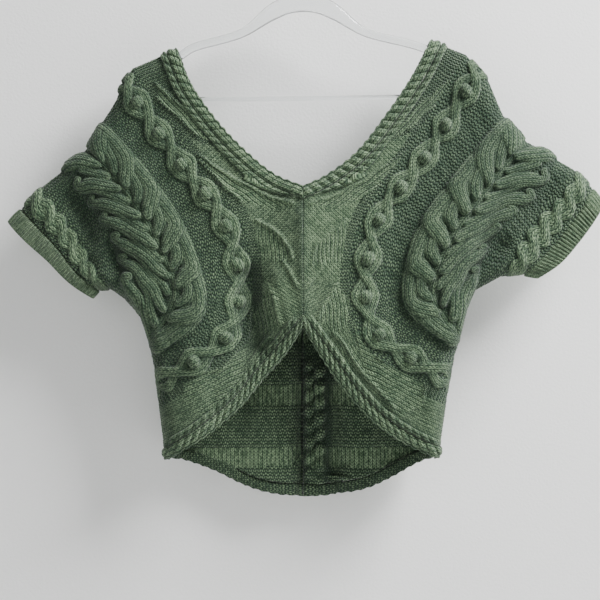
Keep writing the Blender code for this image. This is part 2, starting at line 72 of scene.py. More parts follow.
class Side(Enum):
    """Side of the garment for someone who looks at the front, with the sign of x."""

    LEFT = -1.0
    RIGHT = 1.0


class Edge(Enum):
    """A cut edge that carries the braided trim."""

    NECK = "neck"
    HEM = "hem"


# Rows of the knit walls: fixed steps next to the shoulder and the side, even steps between them
END_STEPS = (0.0, 3.5, 8.5, 15.0, 24.0)
ROWS = 44
# Lines shorter than this have shorter steps at their ends
SHORT_LINE = 140.0
# Steps across and down over which the slope of a surface is taken, in columns and rows
COLUMN_STEP, ROW_STEP = 0.03, 0.08

# Guide lines along the wales, from the cuff in towards the centre. Each column is a station along
# the line, as (distance from the centre seam, drop).
WALES = {
    Side.RIGHT: (
        # line          shoulder    upper       middle      lower       side
        ("cuff_edge", (396, 343), (379, 371), (359, 398), (337, 423), (310, 442)),
        ("cuff_groove", (381, 323), (362, 355), (340, 384), (316, 412), (290, 438)),
        ("rope_in", (356, 298), (331, 333), (300, 363), (275, 398), (261, 440)),
        ("wheat_out", (334, 285), (310, 331), (269, 365), (239, 408), (226, 459)),
        ("lobe_out", (314, 275), (275, 326), (231, 373), (199, 428), (213, 487)),
        ("spine", (289, 263), (240, 326), (194, 391), (167, 467), (205, 524)),
        ("wheat_in", (264, 228), (200, 303), (145, 383), (131, 477), (201, 540)),
        ("bob_out", (246, 185), (176, 280), (107, 375), (107, 489), (197, 560)),
        ("bobbles", (232, 166), (165, 276), (92, 381), (91, 505), (193, 577)),
        ("bob_in", (215, 148), (141, 267), (67, 385), (75, 522), (190, 597)),
    ),
    Side.LEFT: (
        ("cuff_edge", (389, 368), (363, 395), (335, 420), (308, 447), (277, 469)),
        ("cuff_groove", (371, 350), (345, 377), (320, 404), (297, 434), (268, 459)),
        ("rope_in", (341, 319), (315, 350), (292, 383), (272, 419), (253, 457)),
        ("wheat_out", (318, 301), (289, 337), (260, 377), (242, 422), (235, 470)),
        ("lobe_out", (298, 285), (260, 330), (224, 380), (204, 437), (211, 495)),
        ("spine", (281, 273), (229, 330), (189, 397), (163, 469), (201, 531)),
        ("wheat_in", (263, 234), (197, 309), (145, 393), (127, 489), (198, 550)),
        ("bob_out", (246, 207), (180, 297), (119, 391), (114, 495), (195, 568)),
        ("bobbles", (238, 183), (165, 285), (95, 388), (94, 509), (193, 583)),
        ("bob_in", (225, 166), (145, 278), (72, 392), (83, 524), (191, 601)),
    ),
}
BAND_IN, EDGE = 10, 11
GROOVE, ROPE_IN, WHEAT_OUT, SPINE, WHEAT_IN, BOB_OUT, BOBBLES, BOB_IN = 1, 2, 3, 5, 6, 7, 8, 9
BOB_MARGIN = BOB_OUT - 0.2
# Height of the wave of the bands inside the back at which their ribs end
RIB_END = -0.6

# Cut edges, from the shoulder to the centre and from the centre to the side
NECKS = {
    Side.RIGHT: ((168, 129), (143, 177), (110, 226), (71, 276), (32, 307), (0, 323)),
    Side.LEFT: ((166, 140), (147, 187), (114, 234), (76, 275), (38, 306), (0, 323)),
}
HEMS = {
    (Face.FRONT, Side.RIGHT): ((0, 507), (24, 547), (53, 588), (90, 628), (131, 657), (178, 679)),
    (Face.FRONT, Side.LEFT): ((0, 507), (22, 541), (52, 575), (84, 613), (127, 648), (181, 681)),
    (Face.BACK, Side.RIGHT): ((0, 735), (40, 732), (80, 724), (118, 709), (150, 692), (178, 679)),
    (Face.BACK, Side.LEFT): ((0, 735), (40, 730), (80, 718), (118, 700), (150, 688), (181, 681)),
}

# Rows at which the inner edge turns from neck to centre seam and from centre seam to hem
TURNS = {Face.FRONT: (16, 28), Face.BACK: (16, 34)}

# Folds of each face: signed x, positive rise is a ridge and negative a trough
FOLDS = {
    Face.FRONT: (
        # from x  drop  to x  drop  half width  rise
        (-74, 420, -66, 570, 34, -5.0),
        (-72, 440, -60, 530, 17, -13.0),
        (-34, 440, -16, 500, 12, 3.0),
        (-30, 300, -58, 400, 30, -4.0),
        (0, 335, 0, 500, 30, 6.0),
        (-3, 360, -1, 495, 7, 2.4),
        (-142, 470, -140, 630, 34, 7.0),
        (60, 500, 112, 600, 34, 5.0),
        (128, 372, 124, 470, 30, -5.0),
        (205, 240, 150, 340, 30, -4.0),
        (243, 400, 215, 452, 22, -8.0),
        (262, 400, 226, 436, 10, -5.0),
        (158, 600, 150, 672, 26, -4.0),
        (134, 662, 174, 680, 13, -5.0),
        (-288, 350, -246, 420, 20, -8.0),
        (-306, 388, -278, 426, 11, -5.0),
        (-262, 376, -256, 452, 12, 6.0),
        (-205, 250, -150, 350, 30, -4.0),
        # lesser creases
        (-84, 470, -76, 560, 12, -2.6),
        (-34, 420, -44, 520, 12, 1.6),
        (14, 380, 18, 470, 9, -1.4),
        (-176, 500, -170, 590, 10, -2.2),
        (-120, 560, -112, 640, 9, -1.8),
        (176, 470, 190, 560, 11, -2.0),
        (150, 500, 166, 610, 10, 1.6),
        (96, 610, 128, 652, 10, -1.6),
        (262, 330, 228, 392, 11, -2.2),
        (300, 322, 262, 372, 9, 1.4),
        (322, 336, 286, 392, 8, -1.5),
        (-310, 336, -278, 392, 9, -1.7),
        (-232, 350, -214, 432, 11, -2.0),
        (-226, 440, -214, 500, 9, 1.5),
        (232, 190, 190, 250, 12, 1.6),
        (-236, 205, -186, 262, 12, 1.4),
        (-120, 250, -92, 306, 11, -1.4),
        (120, 246, 84, 300, 10, -1.2),
    ),
    Face.BACK: (
        (86, 520, 80, 735, 24, -7.0),
        (44, 540, 46, 735, 12, 7.0),
        (-8, 520, -7, 735, 9, 6.0),
        (-50, 500, -52, 735, 26, -6.0),
        (120, 480, 130, 660, 34, 5.0),
        (-128, 420, -118, 640, 34, -6.0),
        (200, 250, 150, 350, 34, -4.0),
        (-215, 270, -150, 380, 34, -4.0),
        (262, 380, 246, 440, 22, -4.0),
        (-290, 370, -262, 430, 22, -4.0),
        # lesser creases
        (28, 520, 22, 640, 11, -2.0),
        (90, 500, 84, 640, 12, 1.8),
        (-20, 560, -28, 700, 10, -1.6),
        (-90, 470, -84, 600, 12, 2.0),
        (-160, 500, -154, 610, 10, -2.2),
        (160, 470, 168, 590, 11, -2.0),
        (144, 600, 140, 670, 9, 1.4),
        (-130, 600, -120, 670, 9, 1.6),
        (236, 340, 206, 420, 11, -2.0),
        (310, 330, 272, 386, 9, -1.6),
        (-240, 360, -220, 440, 11, -2.0),
        (-318, 350, -288, 402, 9, 1.4),
        (150, 240, 110, 300, 12, -1.6),
        (-150, 250, -104, 312, 12, -1.4),
        (-60, 350, -66, 430, 11, 1.6),
        (40, 345, 52, 420, 11, -1.4),
    ),
}


def smooth(value: Array | float, low: float, high: float) -> Array:
    """Soft step.

    Args:
        value: What is compared with the two limits.
        low: Below this the result is 0.
        high: Above this the result is 1.

    Returns:
        An even S curve between the limits.
    """
    share = np.clip((np.asarray(value, float) - low) / (high - low), 0.0, 1.0)
    return share * share * (3.0 - 2.0 * share)


def curve_through(points: Array | tuple, shares: Array) -> Array:
    """Smooth curve through evenly spaced stations.

    Args:
        points: The stations.
        shares: Places on the curve, 0 to 1.

    Returns:
        The points at those places.
    """
    stations = np.array(points, float)
    stations = np.vstack([2 * stations[0] - stations[1], stations, 2 * stations[-1] - stations[-2]])
    place = np.clip(np.asarray(shares, float), 0.0, 1.0) * (len(points) - 1)
    step = np.minimum(place.astype(int), len(points) - 2)
    t = (place - step)[..., None]
    before, start, end, after = (stations[step + offset] for offset in range(4))
    bend = (2 * before - 5 * start + 4 * end - after) * t * t
    turn = (3 * start - before - 3 * end + after) * t ** 3
    return 0.5 * (2 * start + (end - before) * t + bend + turn)


def distances_along(line: Array) -> Array:
    """Distance of each point of a line from its first, along the line."""
    return np.concatenate([[0.0], np.cumsum(np.hypot(*np.diff(line, axis=0).T))])


def curve_length(points: Array | tuple) -> float:
    """Length of the smooth curve through the stations."""
    line = curve_through(points, np.linspace(0.0, 1.0, 121))
    return float(np.hypot(*np.diff(line, axis=0).T).sum())


def along(points: Array | tuple, distances: Array) -> Array:
    """Points at distances along the smooth curve through the stations."""
    shares = np.linspace(0.0, 1.0, 241)
    line = curve_through(points, shares)
    lengths = distances_along(line)
    return curve_through(points, np.interp(distances, lengths, shares))


def near_line(spots: Array, line: Array | tuple) -> Array:
    """Distance of each spot from a line of straight stretches."""
    nearest = np.full(spots.shape[:-1], np.inf)
    for start, end in zip(line[:-1], line[1:]):
        start, run = np.array(start, float), np.array(end, float) - np.array(start, float)
        share = np.clip(((spots - start) @ run) / (run @ run), 0.0, 1.0)
        nearest = np.minimum(nearest, np.linalg.norm(spots - start - share[..., None] * run, axis=-1))
    return nearest


def blurred(values: Array, reach: tuple[int, int]) -> Array:
    """Mean of a grid's values over a box round each of them.

    Args:
        values: The grid.
        reach: Steps to each side of a value, down the two directions.

    Returns:
        The means in the same layout.
    """
    for axis, steps in enumerate(reach):
        ends = [(steps + 1, steps) if number == axis else (0, 0) for number in (0, 1)]
        total = np.cumsum(np.pad(values, ends, mode="edge"), axis=axis)
        width = 2 * steps + 1
        count = total.shape[axis]
        ahead = np.take(total, np.arange(width, count), axis=axis)
        values = (ahead - np.take(total, np.arange(count - width), axis=axis)) / width
    return values


def inside(spots: Array, outline: tuple) -> Array:
    """Whether each spot lies within a closed outline of straight stretches."""
    x, y = spots[..., 0], spots[..., 1]
    within = np.zeros(spots.shape[:-1], bool)
    for (x1, y1), (x2, y2) in zip(outline, outline[1:] + outline[:1]):
        if y1 == y2:
            continue
        crosses = (y1 > y) != (y2 > y)
        within ^= crosses & (x < (x2 - x1) * (y - y1) / (y2 - y1) + x1)
    return within


@dataclass(frozen=True)
class ClothSizes:
    """Sizes that all knitted pieces share, the same as those of the solids."""

    wall: float = 4.2
    seam_gap: float = 0.3
    inside_gap: float = 0.25
    band_width: float = 15.0
    cuff_reach: float = 24.0
    field_reach: float = 60.0
    shoulder_roll: float = 24.0
    side_roll: float = 28.0
    shoulder_depth: float = 14.0
    body_depth: float = 33.0
    body_from: float = 170.0
    body_to: float = 430.0
    sleeve_from: float = 200.0
    sleeve_to: float = 330.0
    sleeve_depth: float = 17.0
    wale: float = 5.4
    course: float = 4.2
    ground_wale: float = 5.8
    ground_course: float = 4.8
    trim_row: float = 9.0
    seam_line: float = 0.04


CLOTH = ClothSizes()


@dataclass
class Surface:
    """Points of a plain outer face: their places, outward normals, plane spots, columns and rows."""

    points: Array
    normals: Array
    spots: Array
    columns: Array
    rows: Array

    @classmethod
    def joined(cls, parts: list[Surface]) -> Surface:
        """One surface of several, in their order."""
        return cls(*(np.concatenate(values) for values in zip(*(vars(part).values() for part in parts))))


class HalfPlan:
    """Guide lines of one half of a face, and the plain outer surface that they give."""

    def __init__(self, face: Face, side: Side) -> None:
        """Collect the lines of one half.

        Args:
            face: Front or back.
            side: Left or right.
        """
        self.face, self.side = face, side
        self.sign, self.facing = side.value, face.value
        self.wales = [row[1:] for row in WALES[side]]
        self.neck, self.hem = NECKS[side], HEMS[face, side]
        self.turns = TURNS[face]
        shoulder_way = np.array(self.wales[-1][0]) - self.neck[0]
        side_way = np.array(self.wales[-1][-1]) - self.hem[-1]
        shoulder_way = shoulder_way / np.linalg.norm(shoulder_way)
        side_way = side_way / np.linalg.norm(side_way)
        self.neck_in = self.inset(self.neck, shoulder_way, (0.0, 1.15))
        self.hem_in = self.inset(self.hem, (0.0, -1.15), side_way)

    @property
    def turned(self) -> bool:
        """Whether faces laid out by column and row have to be turned round to look outward."""
        return self.sign * self.facing > 0

    @staticmethod
    def inset(points: tuple, start_way: Array | tuple, end_way: Array | tuple) -> Array:
        """Move a cut edge into the cloth by the width of the trim.

        Args:
            points: Stations of the edge.
            start_way: Direction at its first station.
            end_way: Direction at its last station.

        Returns:
            The moved stations.
        """
        stations = np.array(points, float)
        run = np.gradient(stations, axis=0)
        across = np.stack([run[:, 1], -run[:, 0]], axis=1)
        across /= np.linalg.norm(across, axis=1)[:, None]
        across[0], across[-1] = start_way, end_way
        return stations + CLOTH.band_width * across

    @staticmethod
    def row_distances(length: float, rows: Array) -> Array:
        """Distances of the rows along a wale line of this length."""
        ends = len(END_STEPS) - 1
        steps = np.array(END_STEPS) * min(1.0, length / SHORT_LINE)
        table = np.concatenate([
            steps[:-1],
            np.linspace(steps[-1], length - steps[-1], ROWS - 2 * ends + 1),
            length - steps[-2::-1],
        ])
        return np.interp(rows, np.arange(ROWS + 1), table)

    def edge_distances(self, lengths: tuple, rows: Array) -> Array:
        """Distances of the rows along an inner edge of neck, seam and hem."""
        ends = len(END_STEPS) - 1
        steps = np.array(END_STEPS)
        neck, seam, hem = lengths
        first, second = self.turns
        table = np.concatenate([
            steps[:-1],
            np.linspace(steps[-1], neck, first - ends + 1)[:-1],
            neck + np.linspace(0.0, seam, second - first + 1)[:-1],
            neck + seam + np.linspace(0.0, hem - steps[-1], ROWS - second - ends + 1),
            neck + seam + hem - steps[-2::-1],
        ])
        return np.interp(rows, np.arange(ROWS + 1), table)

    def edge_points(self, neck: Array, hem: Array, rows: Array) -> tuple[Array, Array, Array]:
        """Points along the neck, the centre seam and the hem, with distances from both ends."""
        seam_top, seam_end = np.array(neck[-1], float), np.array(hem[0], float)
        lengths = (curve_length(neck), float(seam_end[1] - seam_top[1]), curve_length(hem))
        distance = self.edge_distances(lengths, rows)
        points = np.where(
            (distance < lengths[0])[..., None],
            along(neck, distance),
            along(hem, distance - lengths[0] - lengths[1]),
        )
        on_seam = (distance >= lengths[0]) & (distance <= lengths[0] + lengths[1])
        share = ((distance - lengths[0]) / lengths[1])[..., None]
        points = np.where(on_seam[..., None], seam_top + share * (seam_end - seam_top), points)
        return points, distance, sum(lengths) - distance

    def line_points(self, line: int, rows: Array) -> tuple[Array, Array, Array]:
        """The same for a guide line by its number."""
        if line == BAND_IN:
            return self.edge_points(self.neck_in, self.hem_in, rows)
        if line == EDGE:
            return self.edge_points(self.neck, self.hem, rows)
        length = curve_length(self.wales[line])
        distance = self.row_distances(length, rows)
        return along(self.wales[line], distance), distance, length - distance

    def plane_points(self, column: float, rows: Array) -> tuple[Array, ...]:
        """Points and end distances at a column, which is a line number with a fraction."""
        line = min(int(column), EDGE - 1)
        share = column - line
        low, high = self.line_points(line, rows), self.line_points(line + 1, rows)
        return tuple(a + share * (b - a) for a, b in zip(low, high))

    def fold(self, points: Array) -> Array:
        """Rise of the folds and creases at points of the plane."""
        spot = points * np.array([self.sign, 1.0])
        rise = np.zeros(points.shape[:-1])
        for start_x, start_drop, end_x, end_drop, width, height in FOLDS[self.face]:
            gap = near_line(spot, ((start_x, start_drop), (end_x, end_drop)))
            rise = rise + height * np.exp(-(gap / width) ** 2)
        return rise

    def depth(self, points: Array, from_shoulder: Array, from_side: Array) -> Array:
        """Half depth of the plain outer face at points of the plane."""
        x, drop = points[..., 0], points[..., 1]
        swell = CLOTH.body_depth - CLOTH.shoulder_depth
        fill = CLOTH.shoulder_depth + swell * smooth(drop, CLOTH.body_from, CLOTH.body_to)
        flat = smooth(x, CLOTH.sleeve_from, CLOTH.sleeve_to)
        fill = fill + (CLOTH.sleeve_depth - fill) * flat
        fill = fill + self.fold(points)
        top = np.clip(from_shoulder / CLOTH.shoulder_roll, 0.0, 1.0)
        side = np.clip(from_side / CLOTH.side_roll, 0.0, 1.0)
        return fill * np.sqrt(1.0 - (1.0 - top) ** 2) * np.sqrt(1.0 - (1.0 - side) ** 2)

    def surface(self, columns: Array, rows: Array) -> Surface:
        """Plain outer surface over a grid of columns and rows, flattened column by column."""
        parts = [self.sample(float(column), rows) for column in columns]
        points, normals, spots = (np.concatenate(part) for part in zip(*parts))
        return Surface(points, normals, spots, np.repeat(columns, len(rows)), np.tile(rows, len(columns)))

    def sample(self, column: float, rows: Array) -> tuple[Array, Array, Array]:
        """Points, normals and plane spots of one column of the surface."""
        points, top, side = self.plane_points(column, rows)
        low = self.plane_points(max(column - COLUMN_STEP, 0.0), rows)
        high = self.plane_points(min(column + COLUMN_STEP, float(EDGE)), rows)
        before = self.plane_points(column, np.clip(rows - ROW_STEP, 0, ROWS))
        after = self.plane_points(column, np.clip(rows + ROW_STEP, 0, ROWS))
        depth = self.depth(points, top, side)
        across, down = high[0] - low[0], after[0] - before[0]
        rise_across = self.depth(*high) - self.depth(*low)
        rise_down = self.depth(*after) - self.depth(*before)
        area = across[:, 0] * down[:, 1] - across[:, 1] * down[:, 0]
        slope_x = (rise_across * down[:, 1] - rise_down * across[:, 1]) / area
        slope_drop = (rise_down * across[:, 0] - rise_across * down[:, 0]) / area
        normal = np.stack([-slope_x, np.ones_like(area), -slope_drop], axis=1)
        way = down / np.linalg.norm(down, axis=1)[:, None]
        for end, turn in ((0, -1.0), (ROWS, 1.0)):
            rim = rows == end
            normal[rim] = turn * np.stack([way[rim, 0], 0.0 * way[rim, 0], way[rim, 1]], axis=1)
        normal /= np.linalg.norm(normal, axis=1)[:, None]
        normal *= np.array([self.sign, self.facing, -1.0])
        outer_y = self.facing * (CLOTH.seam_gap / 2 + depth)
        placed_x = self.sign * np.maximum(points[:, 0], CLOTH.seam_gap / 2)
        return np.stack([placed_x, outer_y, -points[:, 1]], axis=1), normal, points


def keep_to_side(points: Array, spots: Array, sign: float) -> None:
    """Keep a half's points on its own side of the centre seam, with its edge at the seam.

    Args:
        points: Points in millimetres, changed in place.
        spots: Their plane spots.
        sign: Sign of x on that side.
    """
    points[:, 0] = sign * np.maximum(sign * points[:, 0], CLOTH.seam_line)
    points[spots[:, 0] < CLOTH.seam_gap / 2, 0] = sign * CLOTH.seam_line


@dataclass
class Spots:
    """Places in one stretch of the knitting.

    across is -1 to 1 over the stretch, row the row number, out and down the distances across and
    along its middle line in millimetres, plane the place as (x, drop) with the wander of the
    knitting, and even the same without it.
    """

    across: Array
    row: Array
    out: Array
    down: Array
    plane: Array
    even: Array

    def face_middles(self) -> Spots:
        """Places of the middles of faces, where these are the places of their corners."""
        return Spots(*(corners.mean(axis=1, keepdims=True) for corners in vars(self).values()))


@dataclass
class Stitches:
    """Wale and course numbers of places, and how far each is purl, 0 to 1."""

    wale: Array
    course: Array
    purl: Array


@dataclass(frozen=True)
class StitchForm:
    """Form of the stitches, the same in the mesh and in the wool's bump.

    A knit stitch is a V whose legs lean by lean courses, are round across from low to low + span
    in half turns, and dip to leg_floor where one stitch meets the next. A purl stitch is a bump
    that sways by sway courses, with heights that differ by beat.
    """

    lean: float = 0.9
    low: float = 0.22
    span: float = 0.71
    leg_floor: float = 0.45
    leg_rise: float = 0.55
    leg_power: float = 0.7
    round_power: float = 0.6
    sway: float = 0.2
    beat: float = 0.22
    bump_floor: float = 0.78


STITCH = StitchForm()


def stitch_height(stitches: Stitches) -> Array:
    """Height of the yarn, 0 to 1, in the V of a knit stitch or the bump of a purl one."""
    wale = stitches.wale - np.floor(stitches.wale)
    leg = np.abs(2.0 * wale - 1.0)
    slant = np.abs(np.sin(np.pi * (stitches.course + STITCH.lean * leg)))
    across = np.sin(np.pi * (STITCH.low + STITCH.span * leg)) ** STITCH.round_power
    knit = across * (STITCH.leg_floor + STITCH.leg_rise * slant ** STITCH.leg_power)
    wave = stitches.course + STITCH.sway * np.sin(2 * np.pi * stitches.wale)
    beat = np.cos(4 * np.pi * stitches.wale + np.pi * np.floor(wave))
    bump = np.abs(np.sin(np.pi * wave)) ** STITCH.round_power
    purl = bump * (STITCH.bump_floor + STITCH.beat * beat)
    return knit + stitches.purl * (purl - knit)


def uneven(plane: Array) -> Array:
    """Plane places, moved by up to a millimetre or so, as hand knitting wanders."""
    x, drop = plane[..., 0], plane[..., 1]
    sideways = 0.8 * np.sin(drop / 7.3 + 2.0 * np.sin(x / 23.0)) + 0.5 * np.sin(x / 5.1 + drop / 11.7)
    downward = 0.8 * np.sin(x / 8.1 + 2.0 * np.sin(drop / 27.0)) + 0.5 * np.sin(drop / 5.7 - x / 12.3)
    return plane + np.stack([sideways, downward], axis=-1)


class Stretch:
    """A stretch of knitting between two guide lines, with one pattern."""

    # numbers of the strands in a cable of two
    GROUND, FIRST, SECOND = 0, 1, 2
    first: float
    last: float
    # painted light: a share by which the colour of the whole stretch is darkened or brightened, standing
    # in for the light and shade that fall on it
    lit: float = 1.0

    def __init__(self, plan: HalfPlan, first: float | None = None, last: float | None = None) -> None:
        """Trace the middle line of the stretch.

        Args:
            plan: The half's guide lines.
            first: Guide line on the cuff's side, where the kind of stretch doesn't say it.
            last: Guide line on the centre's side.
        """
        if first is not None:
            self.first, self.last = first, last
        self.plan = plan
        self.rows = np.linspace(0, ROWS, 4 * ROWS + 1)
        self.line = plan.plane_points(self.middle, self.rows)[0]
        run = np.gradient(self.line, axis=0)
        self.length = distances_along(self.line)
        self.way = run / np.linalg.norm(run, axis=1)[:, None]

    @property
    def middle(self) -> float:
        """Column of the line that the pattern follows."""
        return (self.first + self.last) / 2

    def across(self, columns: Array) -> Array:
        """Share across the stretch, -1 to 1, from its middle line."""
        out = (columns - self.middle) / (self.middle - self.first)
        inward = (columns - self.middle) / (self.last - self.middle)
        return np.where(columns < self.middle, out, inward)

    def place(self, columns: Array, rows: Array, even: Array, wander: bool = True) -> Spots:
        """Places in the stretch's own measures.

        Args:
            columns: Columns of the places.
            rows: Their rows.
            even: Their points of the plane.
            wander: Whether the knitting wanders from those points.

        Returns:
            The places.
        """
        at = [np.interp(rows, self.rows, line) for line in (*self.line.T, *self.way.T, self.length)]
        plane = uneven(even) if wander else even
        x, drop = plane[..., 0] - at[0], plane[..., 1] - at[1]
        down = at[4] + x * at[2] + drop * at[3]
        out = drop * at[2] - x * at[3]
        return Spots(self.across(columns), rows, out, down, plane, even)

    def rise(self, spots: Spots) -> Array:
        """How far the form stands up, in millimetres."""
        return np.zeros_like(spots.row)

    def strand(self, spots: Spots) -> Array:
        """Number of the strand on top, 0 for the ground."""
        return np.zeros(spots.row.shape, int)

    def boldness(self, strand: Array) -> Array:
        """How far the stitches stand up on the given strands, as a share of the usual."""
        return np.ones(strand.shape)

    def stitches(self, spots: Spots, strand: Array) -> Stitches:
        """Stitch numbers at places on the given strands: purl ground unless a pattern says more."""
        purl = np.ones_like(spots.row)
        return Stitches(spots.out / CLOTH.ground_wale, spots.down / CLOTH.ground_course, purl)


class RopeCable(Stretch):
    """Two strands twisted round each other next to the cuff."""

    first, last = GROOVE, ROPE_IN
    # the last of these is painted light, which brightens the whole rope's colour
    rise_top, lobe, swing, half_strand, lit = 5.4, 25.0, 0.34, 0.46, 1.2

    def strands(self, spots: Spots) -> tuple[Array, Array, Array, Array]:
        """Middles and heights of the two strands."""
        turn = np.pi * spots.down / self.lobe
        middle = self.swing * np.cos(turn)
        lift = 0.26 * np.sin(turn)
        heights = []
        for place, raised in ((middle, lift), (-middle, -lift)):
            share = np.clip(1.0 - ((spots.across - place) / self.half_strand) ** 2, 0.0, 1.0)
            heights.append((0.74 + raised) * np.sqrt(share))
        return middle, -middle, heights[0], heights[1]

    def rise(self, spots: Spots) -> Array:
        """The higher of the two strands."""
        _, _, first, second = self.strands(spots)
        return self.rise_top * np.maximum(first, second)

    def strand(self, spots: Spots) -> Array:
        """Number of the strand on top, or of the ground beside them."""
        _, _, first, second = self.strands(spots)
        top = np.where(first >= second, self.FIRST, self.SECOND)
        return np.where(np.maximum(first, second) < 0.05, self.GROUND, top)

    def stitches(self, spots: Spots, strand: Array) -> Stitches:
        """Knit stitches that follow each strand, on a purl ground."""
        ground = super().stitches(spots, strand)
        first, second, _, _ = self.strands(spots)
        middle = np.where(strand == self.FIRST, first, second)
        wale = 1.5 * (spots.across - middle) / self.half_strand + 0.5
        knit = strand > self.GROUND
        return Stitches(
            np.where(knit, wale, ground.wale), ground.course, np.where(knit, 0.0, ground.purl)
        )


class Gutter(Stretch):
    """Purl ground between two cables, with soft cross ridges."""

    # painted shade: the whole gutter's colour is darkened
    lit = 0.66

    def __init__(self, plan: HalfPlan, first: float, last: float, pitch: float) -> None:
        """Trace the gutter.

        Args:
            plan: The half's guide lines.
            first: Guide line on the cuff's side.
            last: Guide line on the centre's side.
            pitch: Distance between the cross ridges.
        """
        self.pitch = pitch
        super().__init__(plan, first, last)

    def rise(self, spots: Spots) -> Array:
        """Cross ridges that die out at both sides."""
        wave = np.cos(2 * np.pi * (spots.down / self.pitch + 0.35 * spots.across))
        return (0.5 * wave - 0.7) * np.cos(spots.across * np.pi / 2)


@dataclass(frozen=True)
class Leaf:
    """One lobe of the wheat cable.

    line holds its middle from where it starts to its tip, halves its half widths in even steps
    along it, and heights its shares of the cable's rise in the same way.
    """

    line: Array
    halves: tuple
    heights: tuple

    def measure(self, plane: Array) -> tuple[Array, Array, Array]:
        """Height, signed distance from the middle and distance along it, at plane places."""
        shape = plane.shape[:-1]
        height, side, down = np.zeros(shape), np.zeros(shape), np.zeros(shape)
        reach = max(self.halves)
        low, high = self.line.min(axis=0) - reach, self.line.max(axis=0) + reach
        here = ((plane > low) & (plane < high)).all(axis=-1)
        if not here.any():
            return height, side, down
        spots = plane[here]
        best = np.full(len(spots), np.inf)
        off, gone, start = np.zeros(len(spots)), np.zeros(len(spots)), 0.0
        for first, second in zip(self.line[:-1], self.line[1:]):
            run = second - first
            length = float(np.hypot(*run))
            away = spots - first
            share = np.clip((away @ run) / length ** 2, 0.0, 1.0)
            gap = np.hypot(*(away - share[:, None] * run).T)
            turn = np.sign(away[:, 1] * run[0] - away[:, 0] * run[1])
            nearer = gap < best
            best = np.where(nearer, gap, best)
            off = np.where(nearer, gap * turn, off)
            gone = np.where(nearer, start + share * length, gone)
            start += length
        steps = np.linspace(0.0, 1.0, len(self.halves))
        half, top = (np.interp(gone / start, steps, sizes) for sizes in (self.halves, self.heights))
        height[here] = top * np.clip(1.0 - (best / half) ** 2.2, 0.0, 1.0) ** 0.55
        side[here], down[here] = off, gone
        return height, side, down


